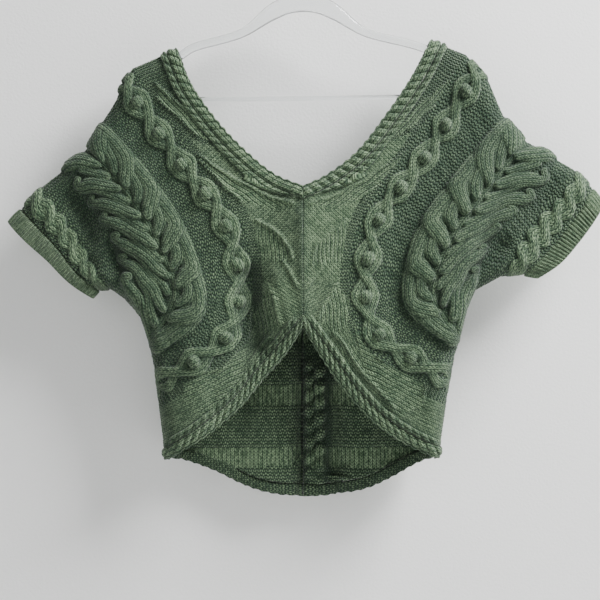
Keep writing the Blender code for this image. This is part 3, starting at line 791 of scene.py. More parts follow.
class WheatCable(Stretch):
    """Leaf lobes on both sides of a spine, which point down and in to it."""

    first, last = WHEAT_OUT, WHEAT_IN
    # numbers of the strands, with the leaves from 2
    SPINE_RIB, PURL, LEAF = 0, 1, 2
    # the last of these values is painted shade, which darkens the whole cable's colour
    rise_top, rows_in_lobe, first_row, spine_half, lit = 7.6, 6.5, 0.88, 0.1, 0.6
    body_share, leaf_share, spine_share = 0.36, 0.8, 0.3
    # distance between leaves at which they have their full width, and the limits of their scale
    full_gap, least_scale, most_scale = 40.0, 0.5, 1.15
    # for every lobe: rows above its tip and reach from the spine at its stations, half widths
    # from start to tip, shares of the height, and rows that it comes after the first of its kind
    OUTER = (
        (((6.2, 0.8), (4.6, 0.9), (2.4, 0.55), (0.0, 0.12)),
         (7.0, 12.0, 12.5, 5.5), (0.6, 0.9, 1.0, 0.95), 0.0),
        (((3.9, 0.55), (2.2, 0.4), (0.0, 0.14)), (6.5, 8.5, 5.0), (0.65, 0.7, 0.65), 3.25),
    )
    INNER = (
        (((9.2, 0.74), (6.6, 0.8), (4.4, 0.8), (3.0, 0.68), (1.5, 0.4), (0.0, 0.12)),
         (7.0, 9.0, 11.0, 13.5, 12.0, 6.0), (0.4, 0.55, 0.75, 0.95, 1.0, 0.9), 0.0),
        (((6.8, 0.48), (5.0, 0.38), (3.2, 0.14)), (7.0, 9.5, 6.0), (0.65, 0.75, 0.7), 0.0),
    )

    def __init__(self, plan: HalfPlan) -> None:
        """Lay out the leaves along the spine."""
        super().__init__(plan)
        self.leaves = []
        for kinds, span in ((self.OUTER, WHEAT_OUT - SPINE), (self.INNER, WHEAT_IN - SPINE)):
            for stations, halves, heights, after in kinds:
                for number in range(1, 9):
                    tip = self.first_row + after + self.rows_in_lobe * (number - 0.5)
                    if tip > ROWS + 3.0:
                        continue
                    before, line, ahead = (
                        self.trace(span, stations, tip + self.rows_in_lobe * turn) for turn in (-1, 0, 1)
                    )
                    gap = np.maximum(np.hypot(*(ahead - line).T), np.hypot(*(line - before).T))
                    tight = np.clip(gap / self.full_gap, self.least_scale, self.most_scale)
                    smooth_line = curve_through(line, np.linspace(0.0, 1.0, 10))
                    size = tuple(halves * tight), tuple(heights * tight ** 0.5)
                    self.leaves.append(Leaf(smooth_line, *size))

    def trace(self, span: float, stations: tuple, tip: float) -> Array:
        """Plane points of a leaf's stations whose tip is at a row.

        Args:
            span: Guide lines from the spine to the edge, with their sign.
            stations: Rows above the tip and reach from the spine, for each station.
            tip: Row of the tip.

        Returns:
            The points, one a row.
        """
        return np.array([
            self.plan.plane_points(SPINE + span * out, np.array([np.clip(tip - above, 0.0, ROWS)]))[0][0]
            for above, out in stations
        ])

    @property
    def middle(self) -> float:
        """Column of the spine's guide line."""
        return float(SPINE)

    def heights(self, spots: Spots) -> tuple[Array, Array]:
        """Height of the highest leaf, and its number."""
        best, number = np.zeros_like(spots.row), np.full(spots.row.shape, len(self.leaves))
        for count, leaf in enumerate(self.leaves):
            height = leaf.measure(spots.plane)[0]
            number = np.where(height > best, count, number)
            best = np.maximum(best, height)
        return best, number

    def rise(self, spots: Spots) -> Array:
        """Plump leaves with sharp creases on a raised body, and a low spine between them."""
        leaves = self.heights(spots)[0]
        spine = self.spine_share * np.exp(-(spots.across / 0.06) ** 2)
        body = self.body_share * smooth(1.0 - np.abs(spots.across), 0.0, 0.25)
        return self.rise_top * (body + self.leaf_share * np.maximum(leaves, spine))

    def strand(self, spots: Spots) -> Array:
        """Number of the leaf on top, of the spine or of the ground."""
        best, number = self.heights(spots)
        top = np.where(best > 0.05, number + self.LEAF, self.PURL)
        return np.where(np.abs(spots.across) < self.spine_half, self.SPINE_RIB, top)

    def stitches(self, spots: Spots, strand: Array) -> Stitches:
        """Knit stitches along each leaf and along the spine, purl beside them."""
        wale, course = spots.out / CLOTH.wale, spots.down / CLOTH.course
        for number, leaf in enumerate(self.leaves, self.LEAF):
            here = strand == number
            if here.any():
                _, side, down = leaf.measure(spots.plane[here])
                wale[here], course[here] = side / CLOTH.wale, down / CLOTH.course
        return Stitches(wale, course, np.where(strand == self.PURL, 1.0, 0.0))


class BobbleCable(Stretch):
    """Two ribbons that cross and part, with a bobble in each opening between them."""

    first, last = BOB_MARGIN, BOB_IN
    BOBBLE, LAST_BOBBLE, bobble_wale = 3, 8, 4.2
    # the last of these is painted shade, which darkens the whole cable's colour a little
    first_row, rows_in_oval, lit = 5.0, 4.0, 0.88
    rise_top, bobble_rise, swing, half_strand, bobble_radius = 4.2, 10.5, 10.6, 7.8, 9.6

    @property
    def middle(self) -> float:
        """The bobbles' own guide line."""
        return float(BOBBLES)

    def ribbons(self, spots: Spots) -> tuple[Array, Array, Array]:
        """Middle of the first ribbon and the heights of both."""
        row = np.interp(spots.down, self.length, self.rows)
        turn = np.pi * (row - self.first_row) / self.rows_in_oval
        wave = np.cos(turn)
        middle = self.swing * np.sign(wave) * np.abs(wave) ** 1.15
        over = np.where(np.sin(turn) > 0, 1.0, -1.0) * (1.0 - np.abs(wave))
        heights = []
        for place, raised in ((middle, over), (-middle, -over)):
            share = np.clip(1.0 - np.abs((spots.out - place) / self.half_strand) ** 3, 0.0, 1.0)
            heights.append((0.78 + 0.3 * raised) * share ** 0.45)
        return middle, heights[0], heights[1]

    def bobble(self, spots: Spots) -> Array:
        """Height of the nearest bobble, 0 to 1."""
        row = np.interp(spots.down, self.length, self.rows)
        number = np.round((row - self.first_row) / self.rows_in_oval)
        row = self.first_row + self.rows_in_oval * np.clip(number, 0, self.LAST_BOBBLE)
        middle = np.interp(row, self.rows, self.length)
        gap = np.hypot(spots.down - middle, spots.out)
        return np.clip(1.0 - (gap / self.bobble_radius) ** 2, 0.0, 1.0) ** 0.62

    def rise(self, spots: Spots) -> Array:
        """Ribbons and bobbles over the ground."""
        _, first, second = self.ribbons(spots)
        ribbons = self.rise_top * np.maximum(first, second)
        return np.maximum(ribbons, self.bobble_rise * self.bobble(spots))

    def strand(self, spots: Spots) -> Array:
        """Number of the ribbon or the bobble on top, or of the ground."""
        _, first, second = self.ribbons(spots)
        ribbon = np.maximum(first, second)
        top = np.where(first >= second, self.FIRST, self.SECOND)
        top = np.where(ribbon < 0.06, self.GROUND, top)
        bobble = self.bobble(spots) * self.bobble_rise
        return np.where(bobble > np.maximum(self.rise_top * ribbon, 0.2), self.BOBBLE, top)

    def stitches(self, spots: Spots, strand: Array) -> Stitches:
        """Knit stitches along the ribbons and over the bobbles, on a purl ground."""
        ground = super().stitches(spots, strand)
        middle, _, _ = self.ribbons(spots)
        place = np.where(strand == self.FIRST, middle, -middle)
        wale = 1.5 * (spots.out - place) / self.half_strand + 0.5
        wale = np.where(strand == self.BOBBLE, spots.out / self.bobble_wale + 0.5, wale)
        beside = strand == self.GROUND
        return Stitches(
            np.where(beside, ground.wale, wale),
            np.where(beside, ground.course, spots.down / CLOTH.course),
            np.where(beside, 1.0, 0.0),
        )


@dataclass(frozen=True)
class Patch:
    """An area of the front's centre with its own run of stitches.

    outline is in (x, drop), and turn is the angle of the wales from straight down, in degrees.
    """

    outline: tuple
    turn: float


@dataclass(frozen=True)
class RaisedLine:
    """A raised rib along a line of stations (x, drop)."""

    line: tuple
    half_width: float = 2.4
    rise: float = 2.4


class Braid(Stretch):
    """Plait of the trim: rows of slanted lumps along the neck and the hem."""

    top, lump, slant, fill = 4.6, 12.5, 0.9, 0.25

    def __init__(self, plan: HalfPlan) -> None:
        """Trace the seam between the trim and the panel."""
        super().__init__(plan, BAND_IN - 1, BAND_IN + 1)

    def lumps(self, across: Array, down: Array, shift: float, lean: float) -> Array:
        """Height of one row, 0 to 1.

        Args:
            across: -1 to 1 over the row's width.
            down: Distance along the edge.
            shift: Where the lumps start, in lumps.
            lean: 1 or -1, the way they slant.

        Returns:
            The heights.
        """
        share = np.clip(1.0 - across ** 2, 0.0, 1.0) ** 0.5
        beat = np.abs(np.cos(np.pi * (down / self.lump + shift + lean * self.slant * across / 2)))
        return share * (self.fill + (1.0 - self.fill) * beat ** 0.65)

    def inner(self, spots: Spots) -> Array:
        """Height of the row that lies on the panel, 0 to 1."""
        place = self.at(spots)
        first, second = self.plan.turns
        away = np.maximum(first - spots.row, spots.row - second)
        half = CLOTH.trim_row / 2
        row = self.lumps((np.abs(place.out) - half) / half, place.down, 0.25, 1.0)
        return row * smooth(away, 0.0, 0.8)

    def at(self, spots: Spots) -> Spots:
        """The same spots measured from the trim's own seam."""
        return self.place(np.full_like(spots.row, float(BAND_IN)), spots.row, spots.even, False)


class Yoke(Stretch):
    """Fine ribs between the bobble cable and the trim, with leaves and travelling ribs."""

    first, last = BOB_IN, BAND_IN
    field_rows, field_drop, purl_margin = (10.5, 29.5), 446.0, -0.6
    # numbers of the strands: the ground, ribs along, the two fields, the patches from 4, the trim
    PURL, RIBS, UPPER, LOWER, PATCH, TRIM = 0, 1, 2, 3, 4, 20
    FIELD_TURNS = {UPPER: -46.0, LOWER: 60.0}
    WALE, PATCH_WALE, TRIM_WALE = 3.9, 5.0, 4.5
    PATCH_BOLDNESS, TRIM_BOLDNESS, BOLDNESS = 2.4, 1.0, 1.6
    PATCHES = {
        Side.RIGHT: (
            Patch(
                ((55, 368), (42, 381), (25, 392), (16, 399), (12, 421), (22, 426), (52, 421), (54, 392)),
                0.0,
            ),
            Patch(((44, 451), (36, 467), (25, 478), (20, 495), (42, 511), (56, 508), (60, 471)), -8.0),
            Patch(((196, 179), (152, 216), (110, 265), (141, 246), (155, 233), (193, 199)), 41.0),
            Patch(((133, 280), (88, 310), (55, 329), (9, 347), (40, 354), (81, 338), (102, 315)), 54.0),
            Patch(((66, 500), (98, 548), (150, 560), (158, 610), (120, 618), (78, 560)), -62.0),
        ),
        Side.LEFT: (
            Patch(
                ((61, 368), (44, 376), (26, 389), (17, 405), (15, 418), (24, 421), (54, 421), (62, 392)),
                4.0,
            ),
            Patch(((190, 190), (150, 224), (112, 270), (140, 254), (156, 240), (188, 208)), 41.0),
            Patch(((136, 284), (92, 312), (58, 330), (12, 347), (42, 354), (84, 340), (106, 318)), 54.0),
            Patch(((46, 452), (36, 470), (30, 500), (52, 520), (66, 496)), 10.0),
            Patch(((70, 520), (104, 560), (150, 566), (158, 616), (120, 620), (80, 574)), -62.0),
        ),
    }
    LINES = {
        Side.RIGHT: (
            RaisedLine(((198, 177), (152, 216), (108, 267))),
            RaisedLine(((194, 199), (155, 233), (139, 248)), 2.6),
            RaisedLine(((134, 279), (88, 310), (55, 329), (9, 347))),
            RaisedLine(((132, 286), (102, 315), (79, 340)), 2.8, 2.2),
            RaisedLine(((55, 368), (42, 381), (25, 392), (16, 399), (12, 425))),
            RaisedLine(((25, 424), (16, 438), (7, 451))),
            RaisedLine(((44, 451), (36, 467), (25, 478), (20, 495))),
            RaisedLine(((62, 470), (70, 500), (98, 548), (150, 560))),
            RaisedLine(((40, 512), (72, 556), (118, 612))),
            RaisedLine(((158, 566), (156, 600), (128, 622)), 2.8, 1.8),
        ),
        Side.LEFT: (
            RaisedLine(((194, 187), (150, 224), (110, 271))),
            RaisedLine(((189, 208), (156, 240), (138, 256)), 2.6),
            RaisedLine(((137, 283), (92, 312), (58, 330), (12, 347))),
            RaisedLine(((135, 290), (106, 318), (82, 342)), 2.8, 2.2),
            RaisedLine(((61, 368), (44, 376), (26, 389), (17, 405), (15, 418))),
            RaisedLine(((26, 421), (17, 434), (8, 451))),
            RaisedLine(((46, 452), (36, 470), (30, 500)), 3.0, 2.0),
            RaisedLine(((66, 480), (74, 518), (104, 560), (150, 566))),
            RaisedLine(((44, 520), (76, 562), (120, 616))),
        ),
    }

    def __init__(self, plan: HalfPlan) -> None:
        """Trace the yoke and the trim beside it."""
        super().__init__(plan)
        self.trim = Braid(plan)

    def rise(self, spots: Spots) -> Array:
        """Raised lines of the front's centre, and the trim's inner row."""
        rise = self.trim.top * self.trim.inner(spots)
        if self.plan.face is Face.BACK:
            return rise
        for line in self.LINES[self.plan.side]:
            form = np.exp(-(near_line(spots.plane, line.line) / line.half_width) ** 2)
            rise = np.maximum(rise, line.rise * form)
        return rise

    def strand(self, spots: Spots) -> Array:
        """Number of the area, from the ground to the trim."""
        trim = self.trim.inner(spots) > 0.05
        if self.plan.face is Face.BACK:
            return np.where(trim, self.TRIM, self.PURL)
        start, end = self.field_rows
        field = np.where(spots.plane[..., 1] < self.field_drop, self.UPPER, self.LOWER)
        strand = np.where(spots.row < end, field, self.RIBS)
        strand = np.where((spots.row < start) | (spots.across < self.purl_margin), self.PURL, strand)
        for number, patch in enumerate(self.PATCHES[self.plan.side]):
            strand = np.where(inside(spots.plane, patch.outline), self.PATCH + number, strand)
        return np.where(trim, self.TRIM, strand)

    def boldness(self, strand: Array) -> Array:
        """Bolder stitches in the patches and the fields than in the ribs."""
        patch = (strand >= self.PATCH) & (strand < self.TRIM)
        other = np.where(strand == self.TRIM, self.TRIM_BOLDNESS, self.BOLDNESS)
        return np.where(patch, self.PATCH_BOLDNESS, other)

    def stitches(self, spots: Spots, strand: Array) -> Stitches:
        """Stitch numbers by area."""
        x, drop = spots.plane[..., 0], spots.plane[..., 1]
        trim = self.trim.at(spots)
        braid = strand == self.TRIM
        along_trim = trim.down / CLOTH.course
        if self.plan.face is Face.BACK:
            return Stitches(
                np.where(braid, trim.out / self.TRIM_WALE, x / CLOTH.wale),
                np.where(braid, along_trim, drop / CLOTH.course),
                np.where(braid, 0.0, 1.0),
            )
        wale, course = spots.out / self.WALE, spots.down / CLOTH.course
        wale = np.where(braid, trim.out / self.TRIM_WALE, wale)
        course = np.where(braid, along_trim, course)
        purl = np.where(strand == self.PURL, 1.0, 0.0)
        patches = enumerate(self.PATCHES[self.plan.side], self.PATCH)
        turns = self.FIELD_TURNS | {number: patch.turn for number, patch in patches}
        for area, angle in turns.items():
            turn = math.radians(angle)
            here = strand == area
            size = self.WALE if area < self.PATCH else self.PATCH_WALE
            wale = np.where(here, (x * math.cos(turn) + drop * math.sin(turn)) / size, wale)
            course = np.where(here, (drop * math.cos(turn) - x * math.sin(turn)) / CLOTH.course, course)
        return Stitches(wale, course, purl)


class ShellMesh:
    """Collects the points and faces of one closed knitted wall, and makes its mesh."""

    # painted shade: purl stitches are made darker by this share
    purl_shade = 0.22

    def __init__(self, name: str) -> None:
        """Start an empty shell with the piece's name."""
        self.name = name
        self.points: list[Array] = []
        self.count = 0
        self.faces: list[Array] = []
        self.rounded: list[Array] = []
        self.wales: list[Array] = []
        self.looks: list[Array] = []

    def add_points(self, points: Array) -> Array:
        """Add points and return their numbers."""
        self.points.append(points)
        numbers = np.arange(self.count, self.count + len(points))
        self.count += len(points)
        return numbers

    def add_faces(
        self, faces: Array, stitches: Stitches, open_share: Array, flip: bool, rounded: bool = True
    ) -> None:
        """Add faces with the stitch numbers of their corners.

        Args:
            faces: Point numbers, one row a face.
            stitches: Stitch numbers in the same layout.
            open_share: Painted light share, 0 in deep gaps to 1 on top, in the same layout.
            flip: Whether to turn the faces round.
            rounded: Whether they are shaded as one with the faces beside them.
        """
        self.rounded.append(np.full(len(faces), rounded))
        wale = np.stack([stitches.wale, stitches.course], axis=-1)
        # painted light: the light share, with painted shade on purl stitches, goes to the look
        # attribute's second channel
        lit = open_share * (1.0 - self.purl_shade * stitches.purl)
        look = np.stack([stitches.purl, lit, np.ones_like(lit)], axis=-1)
        if flip:
            faces, wale, look = faces[:, ::-1], wale[:, ::-1], look[:, ::-1]
        self.faces.append(faces)
        self.wales.append(wale.reshape(-1, 2))
        self.looks.append(look.reshape(-1, 3))

    def build(self) -> bpy.types.Object:
        """Make the mesh object, with its stitch map and its look attribute, which carries the purl share
        and the painted light.
        """
        mesh = bpy.data.meshes.new(self.name)
        points = np.concatenate(self.points) * MM
        mesh.vertices.add(len(points))
        mesh.vertices.foreach_set("co", points.astype(np.float32).ravel())
        corners = np.concatenate([face.ravel() for face in self.faces])
        sizes = np.concatenate([np.full(len(face), face.shape[1]) for face in self.faces])
        mesh.loops.add(len(corners))
        mesh.loops.foreach_set("vertex_index", corners.astype(np.int32))
        mesh.polygons.add(len(sizes))
        starts = np.concatenate([[0], np.cumsum(sizes)[:-1]])
        mesh.polygons.foreach_set("loop_start", starts.astype(np.int32))
        mesh.polygons.foreach_set("use_smooth", np.concatenate(self.rounded))
        mesh.update(calc_edges=True)
        layer = mesh.uv_layers.new(name="stitch")
        layer.data.foreach_set("uv", np.concatenate(self.wales).astype(np.float32).ravel())
        look = mesh.attributes.new("look", "FLOAT_COLOR", "CORNER")
        rgb = np.concatenate(self.looks)
        rgba = np.concatenate([rgb, np.ones((len(rgb), 1))], axis=1)
        look.data.foreach_set("color", rgba.astype(np.float32).ravel())
        placed = bpy.data.objects.new(self.name, mesh)
        bpy.context.scene.collection.objects.link(placed)
        return placed


def grid_faces(numbers: Array) -> Array:
    """Four-cornered faces of a grid of point numbers, one row a face."""
    return np.stack(
        [numbers[:-1, :-1], numbers[1:, :-1], numbers[1:, 1:], numbers[:-1, 1:]], axis=-1
    ).reshape(-1, 4)


def strip_faces(fine: Array, coarse: Array) -> Array:
    """Triangles between a fine line of points and a coarse one that has a whole share of its steps.

    Args:
        fine: Point numbers of the fine line.
        coarse: Point numbers of the coarse line.

    Returns:
        Faces that turn from the fine line's start over its next point to the coarse line.
    """
    ratio = (len(fine) - 1) // (len(coarse) - 1)
    faces = []
    for step in range(len(coarse) - 1):
        part = fine[step * ratio:(step + 1) * ratio + 1]
        turn = (ratio + 1) // 2
        for number in range(ratio):
            near = coarse[step] if number < turn else coarse[step + 1]
            faces.append((part[number], part[number + 1], near))
        faces.append((coarse[step], part[turn], coarse[step + 1]))
    return np.array(faces)


@dataclass
class KnitPanel:
    """One front or back half with its share of the sleeve."""

    face: Face
    side: Side
    columns_in_wale: int = 4
    base_rows: int = 128
    inner_rows: int = 128
    inner_share: int = 4
    stitch_rise: float = 0.9
    # painted shade: shade darkens the colour between cables and fold_shade in fold troughs, while
    # fold_fill only thickens the cloth there
    shade: float = 0.26
    fold_shade: float = 0.045
    fold_fill: float = 0.3
    # limits of the painted light share; chest_drop, side_shade and side_reach paint shade towards the
    # sides, away from the chest; the last two values here are painted light on the rims and the inside
    open_limits: tuple = (0.45, 1.12)
    chest_drop: float = 380.0
    side_shade: float = 0.31
    side_reach: tuple = (75.0, 290.0)
    rim_open: float = 1.05
    inside_open: float = 1.12
    # the braid by the seam inside the back: middle and shift of each row, and the lumps' sizes
    braid_rows: tuple = ((10.5, 0.0), (21.5, 0.5))
    braid_pitch: float = 21.0
    braid_half: float = 7.2
    braid_rise: float = 9.5
    band_rise: float = 1.6
    # drops over which the bands and the braid inside the back set in
    bands_start: tuple = (470.0, 520.0)
    braid_start: tuple = (540.0, 560.0)
    taper_rows: float = 4.0
    taper_floor: float = 0.2
    # wales between one guide line and the next, and zones as first line, last line, rows' share
    wales: tuple = (8, 6, 8, 8, 10, 4, 3, 5, 14)
    zones: tuple = ((1, 3, 1), (3, 7, 2), (7, 10, 4))
    plan: HalfPlan = field(init=False)
    stretches: list = field(init=False)
    grounds: list = field(init=False)

    def __post_init__(self) -> None:
        """Lay out the half's patterns."""
        self.plan = HalfPlan(self.face, self.side)
        self.stretches = [
            RopeCable(self.plan),
            Gutter(self.plan, ROPE_IN, WHEAT_OUT, 12.0),
            WheatCable(self.plan),
            Gutter(self.plan, WHEAT_IN, BOB_MARGIN, 24.0),
            BobbleCable(self.plan),
            Yoke(self.plan),
        ]
        limits = (GROOVE, ROPE_IN, WHEAT_OUT, SPINE, WHEAT_IN, BOB_OUT, BOB_IN)
        self.grounds = [Stretch(self.plan, *pair) for pair in zip(limits[:-1], limits[1:])]
        if self.face is Face.BACK:
            self.columns_in_wale, self.base_rows = 3, 112
            self.inner_rows, self.inner_share = 204, 1

    @property
    def name(self) -> str:
        """Name of the solid that the piece stands for."""
        return f"{self.face.name}_{self.side.name}".lower()

    def columns(self, first: int, last: int) -> Array:
        """Columns between two guide lines, a whole number to each wale."""
        steps = [np.array([float(first)])]
        for line in range(first, last):
            count = self.wales[line - 1] * self.columns_in_wale
            count += count % 2
            steps.append(line + (np.arange(count) + 1) / count)
        columns = np.concatenate(steps)
        if first == GROOVE:
            columns[0] += CLOTH.seam_gap / 2 / CLOTH.cuff_reach
        return columns

    def relief(self, surface: Surface) -> tuple[Array, Array, Array]:
        """Rise of the patterns, that of the stitches on them, and their painted light, at each point."""
        rise, fine, lit = (np.zeros(len(surface.columns)) for _ in range(3))
        for stretch in self.stretches:
            here = (surface.columns >= stretch.first) & (surface.columns < stretch.last)
            if not here.any():
                continue
            spots = stretch.place(surface.columns[here], surface.rows[here], surface.spots[here])
            rise[here], lit[here] = stretch.rise(spots), stretch.lit
            strand = stretch.strand(spots)
            height = stitch_height(stretch.stitches(spots, strand)) - 0.5
            fine[here] = height * stretch.boldness(strand)
        taper = np.clip((ROWS - surface.rows) / self.taper_rows, self.taper_floor, 1.0)
        return rise * taper, fine * self.stitch_rise, lit

    def dress_faces(
        self, shell: ShellMesh, surface: Surface, open_share: Array, faces: Array, flip: bool
    ) -> None:
        """Add outer faces to the shell with each corner's stitch numbers.

        Args:
            shell: The shell.
            surface: The plain outer face.
            open_share: Painted light share of its points.
            faces: Point numbers, one row a face.
            flip: Whether to turn the faces round.
        """
        middle = surface.columns[faces].mean(axis=1)
        for stretch in self.stretches:
            here = (middle > stretch.first) & (middle < stretch.last)
            part = faces[here]
            if not len(part):
                continue
            corner = stretch.place(surface.columns[part], surface.rows[part], surface.spots[part])
            strand = np.broadcast_to(stretch.strand(corner.face_middles()), part.shape)
            shell.add_faces(part, stretch.stitches(corner, strand), open_share[part], flip)

    def build(self) -> bpy.types.Object:
        """Build the closed shell.

        Returns:
            The piece, in place of the solid with its name.
        """
        shell = ShellMesh(f"knit_{self.name}")
        flip = self.plan.turned
        surface, grids = self.lay_zones()
        rise, fine, lit = self.relief(surface)
        outer = surface.points + surface.normals * (rise + fine)[:, None]
        keep_to_side(outer, surface.spots, self.plan.sign)
        shell.add_points(outer)
        # painted light and shade of the outer face
        open_share = self.openness(surface, grids, rise, lit)
        for grid in grids:
            self.dress_faces(shell, surface, open_share, grid_faces(grid), flip)
        for coarse, dense in zip(grids[:-1], grids[1:]):
            strip = strip_faces(dense[0], coarse[-1])[:, ::-1]
            self.dress_faces(shell, surface, open_share, strip, not flip)
        self.line_inside(shell, surface, grids, flip)
        return shell.build()

    def lay_zones(self) -> tuple[Surface, list]:
        """Plain outer face, finer towards the centre, and the point numbers of each zone's grid."""
        grids, surfaces, start = [], [], 0
        for first, last, share in self.zones:
            columns = self.columns(first, last)
            if grids:
                columns = columns[1:]
            rows = np.linspace(0, ROWS, self.base_rows * share + 1)
            surfaces.append(self.plan.surface(columns, rows))
            count = len(columns) * len(rows)
            grids.append(np.arange(start, start + count).reshape(len(columns), len(rows)))
            start += count
        return Surface.joined(surfaces), grids

    def openness(self, surface: Surface, grids: list, rise: Array, lit: Array) -> Array:
        """Painted light share of each point of the outer face, 0 in deep gaps to about 1 on top.

        Args:
            surface: The plain outer face.
            grids: Point numbers of each zone's grid.
            rise: Rise of the patterns at each point.
            lit: Painted light of the pattern at each point, by stretch.

        Returns:
            The painted light share: painted shade between cables, in fold troughs and towards the sides,
                times the painted light of each stretch.
        """
        # painted shade where a point lies below the mean rise round it, as between cables
        open_share = np.concatenate([
            1.0 - self.shade * (blurred(rise[grid], (4, 4 * share)) - rise[grid]).ravel()
            for grid, (_, _, share) in zip(grids, self.zones)
        ])
        # painted shade in the troughs of the folds
        open_share -= self.fold_shade * np.clip(-self.plan.fold(surface.spots) - 3.0, 0.0, 12.0)
        open_share = np.clip(open_share, *self.open_limits)
        # painted light and shade of each stretch, blurred along the columns
        open_share *= np.concatenate([blurred(lit[grid], (6, 0)).ravel() for grid in grids])
        # painted shade towards the sides, away from the chest
        away = np.hypot(surface.spots[:, 0], surface.spots[:, 1] - self.chest_drop)
        return open_share * (1.0 - self.side_shade * smooth(away, *self.side_reach))

    def line_inside(self, shell: ShellMesh, surface: Surface, grids: list, flip: bool) -> None:
        """Add the inner face and close the rims."""
        picked = np.concatenate([surface.columns[grid[:, 0]] for grid in grids])
        columns = picked[::self.inner_share].copy()
        if columns[-1] != picked[-1]:
            columns = np.append(columns, picked[-1])
        columns[-1] -= CLOTH.inside_gap / CLOTH.field_reach
        rows = np.linspace(0, ROWS, self.inner_rows + 1)
        lining = self.plan.surface(columns, rows)
        thick = CLOTH.wall + self.fold_fill * np.clip(-self.plan.fold(lining.spots), 0.0, None)
        rise, inner_painted_light = self.inside_form(lining.spots)
        thick += rise
        inner = lining.points - lining.normals * thick[:, None]
        keep_to_side(inner, lining.spots, self.plan.sign)
        numbers = shell.add_points(inner).reshape(len(columns), len(rows))
        # painted light: the rims are brightened, and the inside takes its own painted light and shade
        opens = np.concatenate([np.full(len(surface.columns), self.rim_open), inner_painted_light])
        both = Surface.joined([surface, lining])
        top = np.concatenate([grid[:, 0] for grid in grids])
        bottom = np.concatenate([grid[:, -1] for grid in grids])
        # faces, whether they are turned round, and whether they are shaded as one
        for faces, turned, rounded in (
            (grid_faces(numbers), not flip, True),
            (self.rim(top, numbers[:, 0]), not flip, True),
            (self.rim(bottom, numbers[:, -1]), flip, True),
            (strip_or_turn(grids[0][0], numbers[0]), flip, False),
            (strip_or_turn(grids[-1][-1], numbers[-1]), not flip, False),
        ):
            self.plain_faces(shell, both, opens, faces, turned, rounded)

    def inside_form(self, spots: Array) -> tuple[Array, Array]:
        """Rise of the inside and its painted light: on the back, bands and a braid by the seam, with
        painted shade beside them.
        """
        x, drop = spots[..., 0], spots[..., 1]
        if self.face is Face.FRONT:
            return np.zeros_like(x), np.full_like(x, self.rim_open)
        band = smooth(inside_wave(drop), RIB_END, -0.2)
        rise = self.band_rise * band * smooth(drop, *self.bands_start)
        if self.side is Side.LEFT:
            by_seam = (1.0 - smooth(x, 2.0, 14.0)) * smooth(drop, 500, 560)
            # painted shade beside the seam at the lower back
            return rise, self.inside_open - 0.5 * by_seam
        lumps = np.zeros_like(x)
        for middle, shift in self.braid_rows:
            place = np.mod(drop / self.braid_pitch + 0.02 * (x - middle) + shift, 1.0) - 0.5
            lump = 1.0 - ((x - middle) / self.braid_half) ** 2 - (place / 0.5) ** 2
            lumps = np.maximum(lumps, np.clip(lump, 0.0, 1.0) ** 0.5)
        lumps = lumps * smooth(drop, *self.braid_start)
        near = smooth(drop, 520, 560) * (1.0 - smooth(np.abs(x - 16.0), 16.0, 26.0))
        # painted shade round the braid, turning to painted light on the tops of its lumps
        open_share = self.inside_open - near * (0.9 - 1.1 * smooth(lumps, 0.2, 0.9))
        return np.maximum(rise, self.braid_rise * lumps), open_share

    def rim(self, fine: Array, coarse: Array) -> Array:
        """Faces between the outer columns and the inner ones along a rim."""
        whole = (len(fine) - 1) // self.inner_share * self.inner_share
        faces = [strip_faces(fine[:whole + 1], coarse[:whole // self.inner_share + 1])]
        rest = fine[whole:]
        if len(rest) > 1:
            faces.append(strip_faces(rest, coarse[-2:]))
        return np.concatenate(faces)

    def plain_faces(
        self, shell: ShellMesh, both: Surface, opens: Array, faces: Array, flip: bool, rounded: bool
    ) -> None:
        """Add faces of the inside or a rim, purl but for the bands of the back.

        Args:
            shell: The shell that they go in.
            both: The outer and the inner face.
            opens: Painted light share of the points of both.
            faces: Point numbers, one row a face.
            flip: Whether to turn the faces round.
            rounded: Whether they are shaded as one with the faces beside them.
        """
        columns, rows, plane = both.columns[faces], both.rows[faces], both.spots[faces]
        wale, course = plane[..., 0] / CLOTH.wale, plane[..., 1] / CLOTH.course
        middle = columns.mean(axis=1)
        for ground in self.grounds:
            here = (middle > ground.first) & (middle < ground.last)
            spots = ground.place(columns[here], rows[here], plane[here])
            wale[here], course[here] = spots.out / CLOTH.wale, spots.down / CLOTH.course
        banded = (middle > BOB_IN) & (self.face is Face.BACK)
        drop = plane[..., 1].mean(axis=1)
        ribbed = banded & (inside_wave(drop) <= RIB_END)
        purl = np.where(ribbed[:, None], 0.0, np.ones_like(wale))
        shell.add_faces(faces, Stitches(wale, course, purl), opens[faces], flip, rounded)


def inside_wave(drop: Array) -> Array:
    """Wave of the bands inside the back by drop: RIB_END and less where they are ribbed."""
    start, pitch = 640.0, 84.0
    return np.cos(2 * np.pi * (drop - start) / pitch)


def strip_or_turn(first: Array, second: Array) -> Array:
    """Strip between two lines, whichever of them is the fine one, turned the same way."""
    if len(first) >= len(second):
        return strip_faces(first, second)
    return strip_faces(second, first)[:, ::-1]


